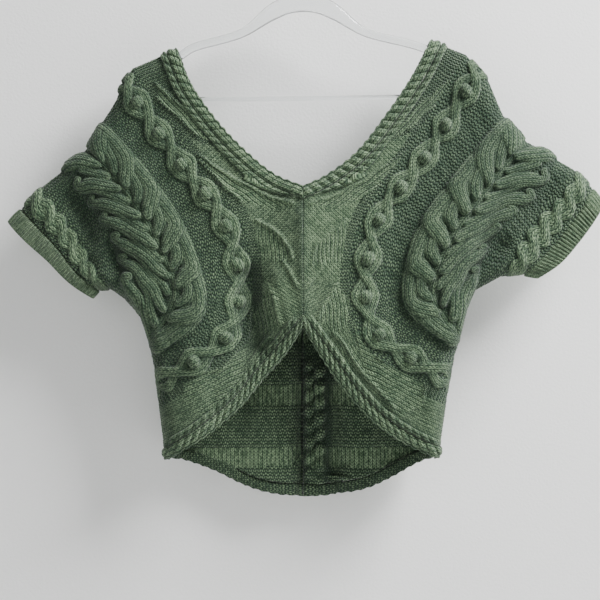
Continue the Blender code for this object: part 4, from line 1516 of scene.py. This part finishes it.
@dataclass
class BraidedBand:
    """Braided trim along the neck or the hem of one half: two rows of slanted lumps."""

    face: Face
    side: Side
    edge: Edge
    columns_across: int = 16
    rows_in_step: int = 14
    scallop: float = 0.9
    inside_rise: float = 2.0
    # the outer row and the cord along the edge, as shares of the band's width
    row_middle: float = 0.42
    row_half: float = 0.44
    cord_middle: float = 0.9
    cord_half: float = 0.13
    cord_height: float = 0.55
    stitch_rise: float = 0.6

    @property
    def name(self) -> str:
        """Name of the solid that the piece stands for."""
        return f"{self.edge.value}_band_{self.face.name}_{self.side.name}".lower()

    def build(self) -> bpy.types.Object:
        """Build the closed band and return it."""
        plan = HalfPlan(self.face, self.side)
        gap = CLOTH.seam_gap / CLOTH.band_width / 2
        columns = BAND_IN + np.linspace(gap, 1.0, self.columns_across + 1)
        first, last = (0, plan.turns[0]) if self.edge is Edge.NECK else (plan.turns[1], ROWS)
        rows = np.linspace(first, last, (last - first) * self.rows_in_step + 1)
        surface = plan.surface(columns, rows)
        run = plan.plane_points(BAND_IN + 0.5, rows)[0]
        length = distances_along(run)
        down = np.tile(length, len(columns))
        across = surface.columns - BAND_IN
        braid = Braid(plan)
        height = braid.lumps((across - self.row_middle) / self.row_half, down, 0.75, -1.0)
        cord = np.clip(1.0 - ((across - self.cord_middle) / self.cord_half) ** 2, 0.0, 1.0)
        height = np.maximum(height, self.cord_height * np.sqrt(cord))
        wale = self.wale_number(surface)
        knit = Stitches(wale, down / CLOTH.course, np.zeros_like(wale))
        rise = braid.top * height + self.stitch_rise * (stitch_height(knit) - 0.5)
        outer = surface.points + surface.normals * rise[:, None]
        fringe = self.scallop * smooth(across, 0.55, 1.0) * np.cos(2 * np.pi * (down / braid.lump + 0.6))
        grid = surface.points.reshape(len(columns), len(rows), 3)
        edge_way = np.gradient(grid, axis=0).reshape(-1, 3)
        edge_way /= np.linalg.norm(edge_way, axis=1)[:, None]
        ends = smooth(np.minimum(surface.rows - first, last - surface.rows), 0.0, 1.0)
        waves = edge_way * (fringe * ends)[:, None]
        outer += waves
        lining = plan.surface(columns[::2], rows[::2])
        lumps = height.reshape(len(columns), len(rows))[::2, ::2].ravel()
        inner = lining.points - lining.normals * (CLOTH.wall + self.inside_rise * lumps)[:, None]
        inner += waves.reshape(*grid.shape)[::2, ::2].reshape(-1, 3)
        keep_to_side(outer, surface.spots, plan.sign)
        keep_to_side(inner, lining.spots, plan.sign)
        shell = ShellMesh(f"knit_{self.name}")
        flip = plan.turned
        skin = shell.add_points(outer).reshape(len(columns), len(rows))
        back = shell.add_points(inner).reshape(len(columns[::2]), len(rows[::2]))
        wales = np.concatenate([wale, self.wale_number(lining)])
        courses = np.concatenate([down, np.tile(length[::2], len(back))]) / CLOTH.course
        purls = np.concatenate([np.zeros(len(wale)), np.ones(len(lining.columns))])
        # painted shade: the band's colour is darker where its lumps are low, on the outer face and the
        # inside
        opens = np.concatenate([
            0.3 + 0.7 * smooth(height, 0.1, 0.75),
            0.45 + 0.6 * smooth(lumps, 0.1, 0.75),
        ])
        # faces, whether they are turned round, and whether they are shaded as one
        pieces = (
            (grid_faces(skin), flip, True),
            (grid_faces(back), not flip, True),
            (strip_faces(skin[:, 0], back[:, 0]), not flip, False),
            (strip_faces(skin[:, -1], back[:, -1]), flip, False),
            (strip_faces(skin[0], back[0]), flip, False),
            (strip_faces(skin[-1], back[-1]), not flip, True),
        )
        for faces, turned, rounded in pieces:
            stitches = Stitches(wales[faces], courses[faces], purls[faces])
            shell.add_faces(faces, stitches, opens[faces], turned, rounded)
        return shell.build()

    @staticmethod
    def wale_number(surface: Surface) -> Array:
        """Wale number across the band, three to its width."""
        return 3.0 * (surface.columns - BAND_IN) + 0.5


@dataclass
class RibbedCuff:
    """Ribbed tube round the sleeve end, with its ribs across the edge."""

    side: Side
    columns_across: int = 20
    rows_in_step: int = 6
    rise: float = 2.2
    rib: float = 4.8
    rib_power: float = 0.8
    wale: float = 2.2
    # the ribs' height where they start at the edge, what they gain, and where they start to end
    rib_floor: float = 0.35
    rib_gain: float = 0.65
    rib_end: float = 0.94
    # the groove where the cuff meets the sleeve: depth, and its middle and half width as shares
    groove_depth: float = 2.8
    groove_middle: float = 0.98
    groove_half: float = 0.07
    # painted light: the cuff's colour is brightened by this share
    openness: float = 1.15

    @property
    def name(self) -> str:
        """Name of the solid that the piece stands for."""
        return f"cuff_{self.side.name}".lower()

    def build(self) -> bpy.types.Object:
        """Build the closed tube and return it."""
        end = 1.0 - CLOTH.seam_gap / 2 / CLOTH.cuff_reach
        columns = np.linspace(0.0, end, self.columns_across + 1)
        rows = np.linspace(0, ROWS, ROWS * self.rows_in_step + 1)
        outer, inner, downs, start = [], [], [], 0.0
        for face, picked in ((Face.FRONT, rows[:-1]), (Face.BACK, rows[:0:-1])):
            plan = HalfPlan(face, self.side)
            surface = plan.surface(columns, rows)
            shape = (len(columns), len(rows))
            base = surface.points.reshape(*shape, 3)
            normal = surface.normals.reshape(*shape, 3)
            base[:, (0, -1), 1], normal[:, (0, -1), 1] = 0.0, 0.0
            run = plan.plane_points(0.5, rows)[0]
            length = distances_along(run)
            around = start + (length if face is Face.FRONT else length[-1] - length)
            start = length[-1]
            across = np.linspace(0.0, 1.0, len(columns))[:, None]
            rib = np.abs(np.cos(np.pi * around / self.rib))[None, :] ** self.rib_power
            swell = np.sin(np.pi * np.clip(across, 0.0, self.rib_end)) ** 0.5
            swell = self.rib_floor + self.rib_gain * swell
            groove = np.exp(-((across - self.groove_middle) / self.groove_half) ** 2)
            rise = self.rise * rib * swell - self.groove_depth * groove
            order = np.searchsorted(rows, picked)
            outer.append((base + normal * rise[..., None])[:, order])
            inner.append((base - normal * CLOTH.wall)[::4, order[::2]])
            downs.append(around[order])
        ring, lining = np.concatenate(outer, axis=1), np.concatenate(inner, axis=1)
        around = np.concatenate(downs)
        shell = ShellMesh(f"knit_{self.name}")
        skin = shell.add_points(ring.reshape(-1, 3)).reshape(ring.shape[:2])
        back = shell.add_points(lining.reshape(-1, 3)).reshape(lining.shape[:2])
        flip = self.side is Side.LEFT
        wales = np.concatenate([np.tile(around, len(columns)), np.tile(around[::2], len(back))])
        wales /= self.wale
        reach = CLOTH.cuff_reach / CLOTH.course
        courses = np.concatenate([
            np.repeat(np.linspace(0, reach, len(columns)), ring.shape[1]),
            np.repeat(np.linspace(0, reach, len(back)), lining.shape[1]),
        ])
        skin, back = (np.concatenate([grid, grid[:, :1]], axis=1) for grid in (skin, back))
        pieces = (
            (grid_faces(skin), flip),
            (grid_faces(back), not flip),
            (strip_faces(skin[0], back[0]), flip),
            (strip_faces(skin[-1], back[-1]), not flip),
        )
        for faces, turned in pieces:
            wale = self.unwrap(wales[faces], around[-1] / self.wale)
            stitches = Stitches(wale, courses[faces], np.zeros(faces.shape))
            shell.add_faces(faces, stitches, np.full(faces.shape, self.openness), turned)
        return shell.build()

    @staticmethod
    def unwrap(wales: Array, whole: float) -> Array:
        """Keep the corners of the faces that close the ring on one side of the join."""
        high = wales.max(axis=1, keepdims=True)
        return np.where(high - wales > whole / 2, wales + whole, wales)


class NodeGroup:
    """Builds one shader node group with named inputs and outputs."""

    def __init__(self, name: str, inputs: dict[str, str], outputs: dict[str, str]) -> None:
        """Start a group.

        Args:
            name: Name of the group.
            inputs: Socket type of each input by name.
            outputs: Socket type of each output by name.
        """
        self.tree = bpy.data.node_groups.new(name, "ShaderNodeTree")
        for label, kind in inputs.items():
            self.tree.interface.new_socket(label, in_out="INPUT", socket_type=kind)
        for label, kind in outputs.items():
            self.tree.interface.new_socket(label, in_out="OUTPUT", socket_type=kind)
        self.start = self.tree.nodes.new("NodeGroupInput")
        self.end = self.tree.nodes.new("NodeGroupOutput")

    def take(self, label: str) -> Socket:
        """One of the group's inputs."""
        return self.start.outputs[label]

    def give(self, label: str, value: Socket) -> None:
        """Join a value to one of the group's outputs."""
        self.tree.links.new(value, self.end.inputs[label])

    def math(self, operation: str, *values: Socket | float) -> Socket:
        """Result of a Math node on sockets or plain numbers."""
        return math_node(self.tree, operation, *values)


def math_node(tree: bpy.types.NodeTree, operation: str, *values: Socket | float) -> Socket:
    """Add a Math node.

    Args:
        tree: The tree that it goes in.
        operation: Name of the operation.
        values: Its inputs, as sockets or numbers.

    Returns:
        Its result.
    """
    node = tree.nodes.new("ShaderNodeMath")
    node.operation = operation
    for number, value in enumerate(values):
        if isinstance(value, (int, float)):
            node.inputs[number].default_value = value
        else:
            tree.links.new(value, node.inputs[number])
    return node.outputs[0]


def colour_mix(tree: bpy.types.NodeTree, blend: str, factor: Socket | float,
               first: Socket | tuple, second: Socket | tuple) -> Socket:
    """Add a colour Mix node.

    Args:
        tree: The tree that it goes in.
        blend: How the colours combine.
        factor: Share of the second colour.
        first: The first colour, as a socket or red, green and blue.
        second: The second colour.

    Returns:
        The mixed colour.
    """
    node = tree.nodes.new("ShaderNodeMix")
    node.data_type, node.blend_type = "RGBA", blend
    sockets = (node.inputs[0], node.inputs[6], node.inputs[7])
    for socket, value in zip(sockets, (factor, first, second)):
        if isinstance(value, (int, float)):
            socket.default_value = value
        elif isinstance(value, tuple):
            socket.default_value = (*value, 1.0)
        else:
            tree.links.new(value, socket)
    return node.outputs[2]


def noise_node(tree: bpy.types.NodeTree, place: Socket, scale: float, detail: float) -> Socket:
    """Add a Noise Texture and return its value."""
    node = tree.nodes.new("ShaderNodeTexNoise")
    tree.links.new(place, node.inputs["Vector"])
    node.inputs["Scale"].default_value = scale
    node.inputs["Detail"].default_value = detail
    return node.outputs["Fac"]


def build_stitch_group() -> bpy.types.NodeTree:
    """Group that turns wale, course and purl share into the yarn's height, 0 to 1."""
    number = "NodeSocketFloat"
    group = NodeGroup(
        "stitch_height", {"Wale": number, "Course": number, "Purl": number},
        {"Height": number, "Chance": number},
    )
    wale, course, purl = (group.take(label) for label in ("Wale", "Course", "Purl"))
    part = group.math("FRACT", wale)
    leg = group.math("ABSOLUTE", group.math("MULTIPLY_ADD", part, 2.0, -1.0))
    lean = group.math("MULTIPLY_ADD", leg, STITCH.lean, course)
    slant = group.math("ABSOLUTE", group.math("SINE", group.math("MULTIPLY", lean, math.pi)))
    slant = group.math("POWER", slant, STITCH.leg_power)
    rounded = group.math("MULTIPLY_ADD", slant, STITCH.leg_rise, STITCH.leg_floor)
    broad = group.math("MULTIPLY_ADD", leg, STITCH.span * math.pi, STITCH.low * math.pi)
    across = group.math("POWER", group.math("SINE", broad), STITCH.round_power)
    knit = group.math("MULTIPLY", across, rounded)
    bend = group.math("SINE", group.math("MULTIPLY", wale, 2 * math.pi))
    wave = group.math("MULTIPLY_ADD", bend, STITCH.sway, course)
    shifted = group.math("MULTIPLY_ADD", wale, 4.0, group.math("FLOOR", wave))
    beat = group.math("COSINE", group.math("MULTIPLY", shifted, math.pi))
    bump = group.math("ABSOLUTE", group.math("SINE", group.math("MULTIPLY", wave, math.pi)))
    bump = group.math("POWER", bump, STITCH.round_power)
    beat = group.math("MULTIPLY_ADD", beat, STITCH.beat, STITCH.bump_floor)
    bump = group.math("MULTIPLY", bump, beat)
    share = group.math("MULTIPLY", group.math("SUBTRACT", bump, knit), purl)
    group.give("Height", group.math("ADD", knit, share))
    leg_number = group.math("FLOOR", group.math("MULTIPLY", wale, 2.0))
    stitch_number = group.tree.nodes.new("ShaderNodeCombineXYZ")
    group.tree.links.new(leg_number, stitch_number.inputs[0])
    group.tree.links.new(group.math("FLOOR", wave), stitch_number.inputs[1])
    chance = group.tree.nodes.new("ShaderNodeTexWhiteNoise")
    chance.noise_dimensions = "2D"
    group.tree.links.new(stitch_number.outputs[0], chance.inputs["Vector"])
    group.give("Chance", chance.outputs["Value"])
    return group.tree


# Noises of the wool and of fine marks, in waves a metre: fibres, tufts of them, patches of colour
FIBRE_WAVES, TUFT_WAVES, PATCH_WAVES = 900.0, 330.0, 60.0
FINE_WAVES, COARSE_WAVES = 420.0, 35.0


def build_heather_group() -> bpy.types.NodeTree:
    """Group that gives the heathered wool its colour from place, yarn height and painted light, with
    painted shade in the gaps between the yarn.
    """
    number, colour = "NodeSocketFloat", "NodeSocketColor"
    group = NodeGroup(
        "heather",
        {"Place": "NodeSocketVector", "Height": number, "Open": number, "Chance": number,
         "Light Yarn": colour, "Dark Yarn": colour, "Gap": colour},
        {"Color": colour, "Fuzz": number},
    )
    tree = group.tree
    place = group.take("Place")
    fibre = noise_node(tree, place, FIBRE_WAVES, 3.0)
    patch = noise_node(tree, place, PATCH_WAVES, 2.0)
    blend = group.math("MULTIPLY_ADD", group.math("SUBTRACT", fibre, 0.5), 1.6, 0.5)
    blend = group.math("ADD", blend, group.math("MULTIPLY_ADD", patch, 0.7, -0.35))
    blend = group.math("ADD", blend, group.math("MULTIPLY_ADD", group.take("Chance"), 0.8, -0.4))
    yarn = colour_mix(tree, "MIX", blend, group.take("Dark Yarn"), group.take("Light Yarn"))
    # painted shade: the colour turns towards the gap colour where the yarn is low and where the painted
    # light share is low; the tuft noise varies this at random
    lit = group.math("MULTIPLY_ADD", group.take("Height"), 2.1, -0.92)
    tuft = noise_node(tree, place, TUFT_WAVES, 3.0)
    lit = group.math("ADD", lit, group.math("MULTIPLY_ADD", tuft, 0.6, -0.31))
    lit = group.math("MULTIPLY", lit, group.take("Open"))
    lit = group.math("MINIMUM", group.math("MAXIMUM", lit, 0.0), 1.0)
    group.give("Color", colour_mix(tree, "MIX", lit, group.take("Gap"), yarn))
    group.give("Fuzz", fibre)
    return group.tree


def build_grain_group() -> bpy.types.NodeTree:
    """Group for fine scuffs and dust: a value round 0.5 that changes at two scales."""
    number = "NodeSocketFloat"
    group = NodeGroup("grain", {"Place": "NodeSocketVector", "Amount": number}, {"Value": number})
    coarse = noise_node(group.tree, group.take("Place"), COARSE_WAVES, 2.0)
    fine = noise_node(group.tree, group.take("Place"), FINE_WAVES, 2.0)
    both = group.math("MULTIPLY_ADD", coarse, 0.5, group.math("MULTIPLY", fine, 0.5))
    offset = group.math("MULTIPLY", group.math("SUBTRACT", both, 0.5), group.take("Amount"))
    group.give("Value", group.math("ADD", offset, 0.5))
    return group.tree


@dataclass
class Groups:
    """The shader groups that finishes share."""

    stitch: bpy.types.NodeTree = field(default_factory=build_stitch_group)
    heather: bpy.types.NodeTree = field(default_factory=build_heather_group)
    grain: bpy.types.NodeTree = field(default_factory=build_grain_group)


def new_material(name: str) -> tuple[bpy.types.Material, bpy.types.ShaderNode]:
    """Start a node material.

    Args:
        name: Name of the material.

    Returns:
        The material and its Principled shader.
    """
    material = bpy.data.materials.new(name)
    material.use_nodes = True
    return material, material.node_tree.nodes["Principled BSDF"]


def set_inputs(node: bpy.types.Node, **values: object) -> None:
    """Set or join a node's inputs.

    Args:
        node: The node.
        values: Inputs by name, with _ for a space: sockets, numbers or colours.
    """
    for label, value in values.items():
        socket = node.inputs[label.replace("_", " ")]
        if isinstance(value, bpy.types.NodeSocket):
            node.id_data.links.new(value, socket)
        elif isinstance(value, tuple):
            socket.default_value = (*value, 1.0)
        else:
            socket.default_value = value


def add_group(tree: bpy.types.NodeTree, group: bpy.types.NodeTree, **values: object) -> bpy.types.Node:
    """Place a group in a tree.

    Args:
        tree: The material's tree.
        group: The group.
        values: Inputs by name, with _ for a space: sockets, numbers or colours.

    Returns:
        The group's node.
    """
    node = tree.nodes.new("ShaderNodeGroup")
    node.node_tree = group
    set_inputs(node, **values)
    return node


def object_place(tree: bpy.types.NodeTree) -> Socket:
    """Place on the object, for textures that stay with it."""
    return tree.nodes.new("ShaderNodeTexCoord").outputs["Object"]


def add_bump(shader: bpy.types.ShaderNode, height: Socket, distance: float, strength: float) -> None:
    """Bend a shader's normal by a height.

    Args:
        shader: The shader.
        height: The height.
        distance: Metres that a height of 1 stands for.
        strength: Share of the bend that shows.
    """
    bump = shader.id_data.nodes.new("ShaderNodeBump")
    set_inputs(bump, Height=height, Distance=distance, Strength=strength)
    set_inputs(shader, Normal=bump.outputs["Normal"])


def add_marks(
    shader: bpy.types.ShaderNode, groups: Groups, amount: float, spread: float, least: float
) -> None:
    """Vary a shader's roughness with fine marks.

    Args:
        shader: The shader.
        groups: The shared groups.
        amount: Strength of the marks.
        spread: Roughness that a mark of 1 adds.
        least: Roughness without marks.
    """
    tree = shader.id_data
    grain = add_group(tree, groups.grain, Place=object_place(tree), Amount=amount)
    set_inputs(shader, Roughness=math_node(tree, "MULTIPLY_ADD", grain.outputs[0], spread, least))


@dataclass(frozen=True)
class WoolFinish:
    """Soft heathered wool in small knit stitches."""

    light_yarn: tuple = (0.212, 0.304, 0.172)
    dark_yarn: tuple = (0.044, 0.086, 0.043)
    # painted shade: colour of the gaps between the yarn
    gap: tuple = (0.009, 0.024, 0.013)
    roughness: float = 0.95
    specular: float = 0.15
    sheen: float = 0.12
    sheen_roughness: float = 0.6
    stitch_depth: float = 0.0020
    fuzz_depth: float = 0.00035
    bump_strength: float = 0.9

    def material(self, groups: Groups) -> bpy.types.Material:
        """Build the material."""
        material, shader = new_material("wool_grey_green")
        tree = material.node_tree
        stitch_map = tree.nodes.new("ShaderNodeUVMap")
        stitch_map.uv_map = "stitch"
        apart = tree.nodes.new("ShaderNodeSeparateXYZ")
        tree.links.new(stitch_map.outputs["UV"], apart.inputs[0])
        look = tree.nodes.new("ShaderNodeAttribute")
        look.attribute_name = "look"
        parts = tree.nodes.new("ShaderNodeSeparateColor")
        tree.links.new(look.outputs["Color"], parts.inputs[0])
        stitch = add_group(
            tree, groups.stitch, Wale=apart.outputs[0], Course=apart.outputs[1], Purl=parts.outputs[0]
        )
        # the look attribute's second channel is the painted light share
        heather = add_group(
            tree, groups.heather, Place=object_place(tree), Height=stitch.outputs["Height"],
            Open=parts.outputs[1], Chance=stitch.outputs["Chance"],
            Light_Yarn=self.light_yarn, Dark_Yarn=self.dark_yarn, Gap=self.gap,
        )
        set_inputs(
            shader, Base_Color=heather.outputs["Color"], Roughness=self.roughness,
            Specular_IOR_Level=self.specular, Sheen_Weight=self.sheen,
            Sheen_Roughness=self.sheen_roughness,
        )
        yarn = math_node(tree, "MULTIPLY", stitch.outputs["Height"], self.stitch_depth)
        height = math_node(tree, "MULTIPLY_ADD", heather.outputs["Fuzz"], self.fuzz_depth, yarn)
        add_bump(shader, height, 1.0, self.bump_strength)
        return material


@dataclass(frozen=True)
class ClearPlasticFinish:
    """Clear moulded plastic with fine handling marks."""

    colour: tuple = (0.93, 0.95, 0.95)
    transmission: float = 0.92
    index: float = 1.46
    marks: float = 0.3
    spread: float = 0.2
    least_roughness: float = 0.02

    def material(self, groups: Groups) -> bpy.types.Material:
        """Build the material."""
        material, shader = new_material("clear_plastic")
        set_inputs(
            shader, Base_Color=self.colour, Transmission_Weight=self.transmission, IOR=self.index
        )
        add_marks(shader, groups, self.marks, self.spread, self.least_roughness)
        return material


@dataclass(frozen=True)
class SteelFinish:
    """Dull steel wire with faint drawing marks."""

    colour: tuple = (0.2, 0.2, 0.205)
    metallic: float = 0.9
    marks: float = 0.9
    spread: float = 0.3
    least_roughness: float = 0.19

    def material(self, groups: Groups) -> bpy.types.Material:
        """Build the material."""
        material, shader = new_material("steel_wire")
        set_inputs(shader, Base_Color=self.colour, Metallic=self.metallic)
        add_marks(shader, groups, self.marks, self.spread, self.least_roughness)
        return material


@dataclass
class Hanger:
    """Clear hanger and its wire hook: rounded copies of the solids."""

    plastic: bpy.types.Material
    steel: bpy.types.Material
    # distance at which points are one, in metres, and the angle under which faces are joined
    weld: float = 0.00002
    any_angle: float = 3.14

    def rounded(self, node: str, name: str, levels: int) -> bpy.types.Object:
        """Smooth copy of a solid.

        Args:
            node: Name of the solid.
            name: Name of the piece.
            levels: Rounds of subdivision.

        Returns:
            The piece, in place of the solid.
        """
        source = bpy.data.objects[node]
        piece = source.copy()
        piece.data = source.data.copy()
        piece.name = piece.data.name = name
        for key in list(piece.keys()):
            del piece[key]
        bpy.context.scene.collection.objects.link(piece)
        deselect_all()
        piece.select_set(True)
        bpy.context.view_layer.objects.active = piece
        bpy.ops.object.mode_set(mode="EDIT")
        bpy.ops.mesh.select_all(action="SELECT")
        bpy.ops.mesh.remove_doubles(threshold=self.weld)
        bpy.ops.mesh.tris_convert_to_quads(
            face_threshold=self.any_angle, shape_threshold=self.any_angle
        )
        bpy.ops.mesh.normals_make_consistent(inside=False)
        bpy.ops.object.mode_set(mode="OBJECT")
        finer = piece.modifiers.new("round", "SUBSURF")
        finer.levels = finer.render_levels = levels
        bpy.ops.object.modifier_apply(modifier=finer.name)
        bpy.ops.object.shade_smooth()
        piece.data.materials.clear()
        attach(piece, "root")
        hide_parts(node)
        return piece

    def build(self) -> list[bpy.types.Object]:
        """Build the hanger and the hook."""
        hanger = self.rounded("hanger", "clear_hanger", 1)
        hanger.data.materials.append(self.plastic)
        hook = self.rounded("hook", "wire_hook", 2)
        hook.data.materials.append(self.steel)
        return [hanger, hook]


def deselect_all() -> None:
    """Leave nothing selected."""
    if bpy.context.object and bpy.context.object.mode != "OBJECT":
        bpy.ops.object.mode_set(mode="OBJECT")
    bpy.ops.object.select_all(action="DESELECT")


@dataclass
class Studio:
    """Camera, pale wall and floor, and soft light. Metres."""

    centre: tuple = (-0.004, 0.0, -0.471)
    distance: float = 1.7
    half_view: float = 0.396
    wall_y: float = 0.064
    floor_z: float = -1.25
    wall_tones: tuple = ((0.91, 0.915, 0.905), (0.95, 0.955, 0.945))
    floor_tone: tuple = (0.62, 0.62, 0.61)
    sky_tone: tuple = (0.93, 0.95, 0.97)
    sky_strength: float = 0.28
    # name, place, length of the side and watts of each light
    lights: tuple = (
        ("key", (1.5, -0.85, 1.25), 1.1, 168.0),
        ("fill", (-1.2, -2.0, 0.1), 1.8, 8.0),
        ("back_key", (-1.2, 1.6, 0.5), 1.2, 30.0),
        ("back_fill", (1.5, 1.5, -0.2), 1.5, 12.0),
    )

    def camera(self) -> None:
        """Level camera before the garment."""
        data = bpy.data.cameras.new("camera")
        data.sensor_width = 36.0
        data.lens = 18.0 * self.distance / self.half_view
        camera = bpy.data.objects.new("camera", data)
        camera.location = (self.centre[0], -self.distance, self.centre[2])
        camera.rotation_euler = (math.radians(90.0), 0.0, 0.0)
        bpy.context.scene.collection.objects.link(camera)
        bpy.context.scene.camera = camera

    def light(self, name: str, place: tuple, size: float, power: float) -> None:
        """Square soft light that looks at the garment.

        Args:
            name: Name of the light.
            place: Where it stands.
            size: Length of its side.
            power: Watts.
        """
        data = bpy.data.lights.new(name, "AREA")
        data.size, data.energy = size, power
        lamp = bpy.data.objects.new(name, data)
        lamp.location = place
        way = np.array(self.centre) - np.array(place)
        flat = math.hypot(way[0], way[1])
        lamp.rotation_euler = (math.atan2(flat, -way[2]), 0.0, math.atan2(-way[0], way[1]))
        bpy.context.scene.collection.objects.link(lamp)

    def backdrop(self) -> None:
        """Pale plaster wall, seen from its front only, and the floor."""
        plaster = self.wall_material()
        upright = (math.radians(90.0), 0.0, 0.0)
        wall = self.plane("wall", plaster, 6.0, location=(0.0, self.wall_y, -0.2), rotation=upright)
        pale, shader = new_material("pale_floor")
        set_inputs(shader, Base_Color=self.floor_tone, Roughness=0.85)
        floor = self.plane("floor", pale, 14.0, location=(0.0, 0.0, self.floor_z))

    @staticmethod
    def plane(
        name: str, material: bpy.types.Material, size: float, **place: tuple
    ) -> bpy.types.Object:
        """Add a plane.

        Args:
            name: Name of the plane.
            material: Its material.
            size: Length of its side.
            place: Its location and rotation.

        Returns:
            The plane.
        """
        deselect_all()
        bpy.ops.mesh.primitive_plane_add(size=size, **place)
        plane = bpy.context.object
        plane.name = name
        plane.data.materials.append(material)
        return plane

    def wall_material(self) -> bpy.types.Material:
        """Plaster that is clear from behind and to the lights behind it."""
        material, shader = new_material("pale_plaster")
        tree = material.node_tree
        speck = noise_node(tree, object_place(tree), 260.0, 3.0)
        set_inputs(shader, Base_Color=colour_mix(tree, "MIX", speck, *self.wall_tones), Roughness=0.9)
        add_bump(shader, speck, 0.001, 0.35)
        clear = tree.nodes.new("ShaderNodeBsdfTransparent")
        mix = tree.nodes.new("ShaderNodeMixShader")
        behind = tree.nodes.new("ShaderNodeNewGeometry").outputs["Backfacing"]
        shadow = tree.nodes.new("ShaderNodeLightPath").outputs["Is Shadow Ray"]
        tree.links.new(math_node(tree, "MAXIMUM", behind, shadow), mix.inputs[0])
        tree.links.new(shader.outputs[0], mix.inputs[1])
        tree.links.new(clear.outputs[0], mix.inputs[2])
        tree.links.new(mix.outputs[0], tree.nodes["Material Output"].inputs["Surface"])
        return material

    def build(self) -> None:
        """Set up everything round the object."""
        self.camera()
        self.backdrop()
        for settings in self.lights:
            self.light(*settings)
        world = bpy.data.worlds.new("studio")
        world.use_nodes = True
        sky = world.node_tree.nodes["Background"]
        set_inputs(sky, Color=self.sky_tone, Strength=self.sky_strength)
        bpy.context.scene.world = world


@dataclass(frozen=True)
class Cut:
    """Flat size of a piece before it was sewn, in metres, and its share of that rectangle."""

    width: float
    length: float
    area: float


CUFF_CUT, BAND_CUT = Cut(0.36, 0.026, 0.0093), Cut(0.27, 0.021, 0.0052)
CUTS = {
    "front_left": Cut(0.40, 0.56, 0.13),
    "front_right": Cut(0.41, 0.57, 0.13),
    "back_left": Cut(0.40, 0.62, 0.16),
    "back_right": Cut(0.41, 0.62, 0.16),
    "cuff_left": CUFF_CUT,
    "cuff_right": CUFF_CUT,
}
BAND_CUTS = {(edge, face): BAND_CUT for edge in Edge for face in Face}
BAND_CUTS[Edge.HEM, Face.BACK] = Cut(0.21, 0.021, 0.0041)


def declare(piece: bpy.types.Object, node: str, cut: Cut, wool: bpy.types.Material) -> None:
    """Dress a knitted piece with its material, put it in place of its solid and log its triangles.

    Args:
        piece: The piece.
        node: The solid that it stands for.
        cut: Not used.
        wool: Its material.
    """
    piece.data.materials.append(wool)
    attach(piece, "root")
    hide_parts(node)
    piece.data.calc_loop_triangles()
    LOG.info("%s: %d triangles", piece.name, len(piece.data.loop_triangles))


def main() -> None:
    """Build every piece in order and report each."""
    logging.basicConfig(level=logging.INFO, format="%(name)s: %(message)s")
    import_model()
    deselect_all()
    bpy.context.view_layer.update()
    Studio().build()
    groups = Groups()
    wool = WoolFinish().material(groups)
    hanger = Hanger(ClearPlasticFinish().material(groups), SteelFinish().material(groups))
    for piece in hanger.build():
        LOG.info("%s: %d faces", piece.name, len(piece.data.polygons))
    for side in Side:
        cuff = RibbedCuff(side)
        declare(cuff.build(), cuff.name, CUTS[cuff.name], wool)
        for face in Face:
            panel = KnitPanel(face, side)
            declare(panel.build(), panel.name, CUTS[panel.name], wool)
            for edge in Edge:
                band = BraidedBand(face, side, edge)
                declare(band.build(), band.name, BAND_CUTS[edge, face], wool)


if __name__ == "__main__":
    main()
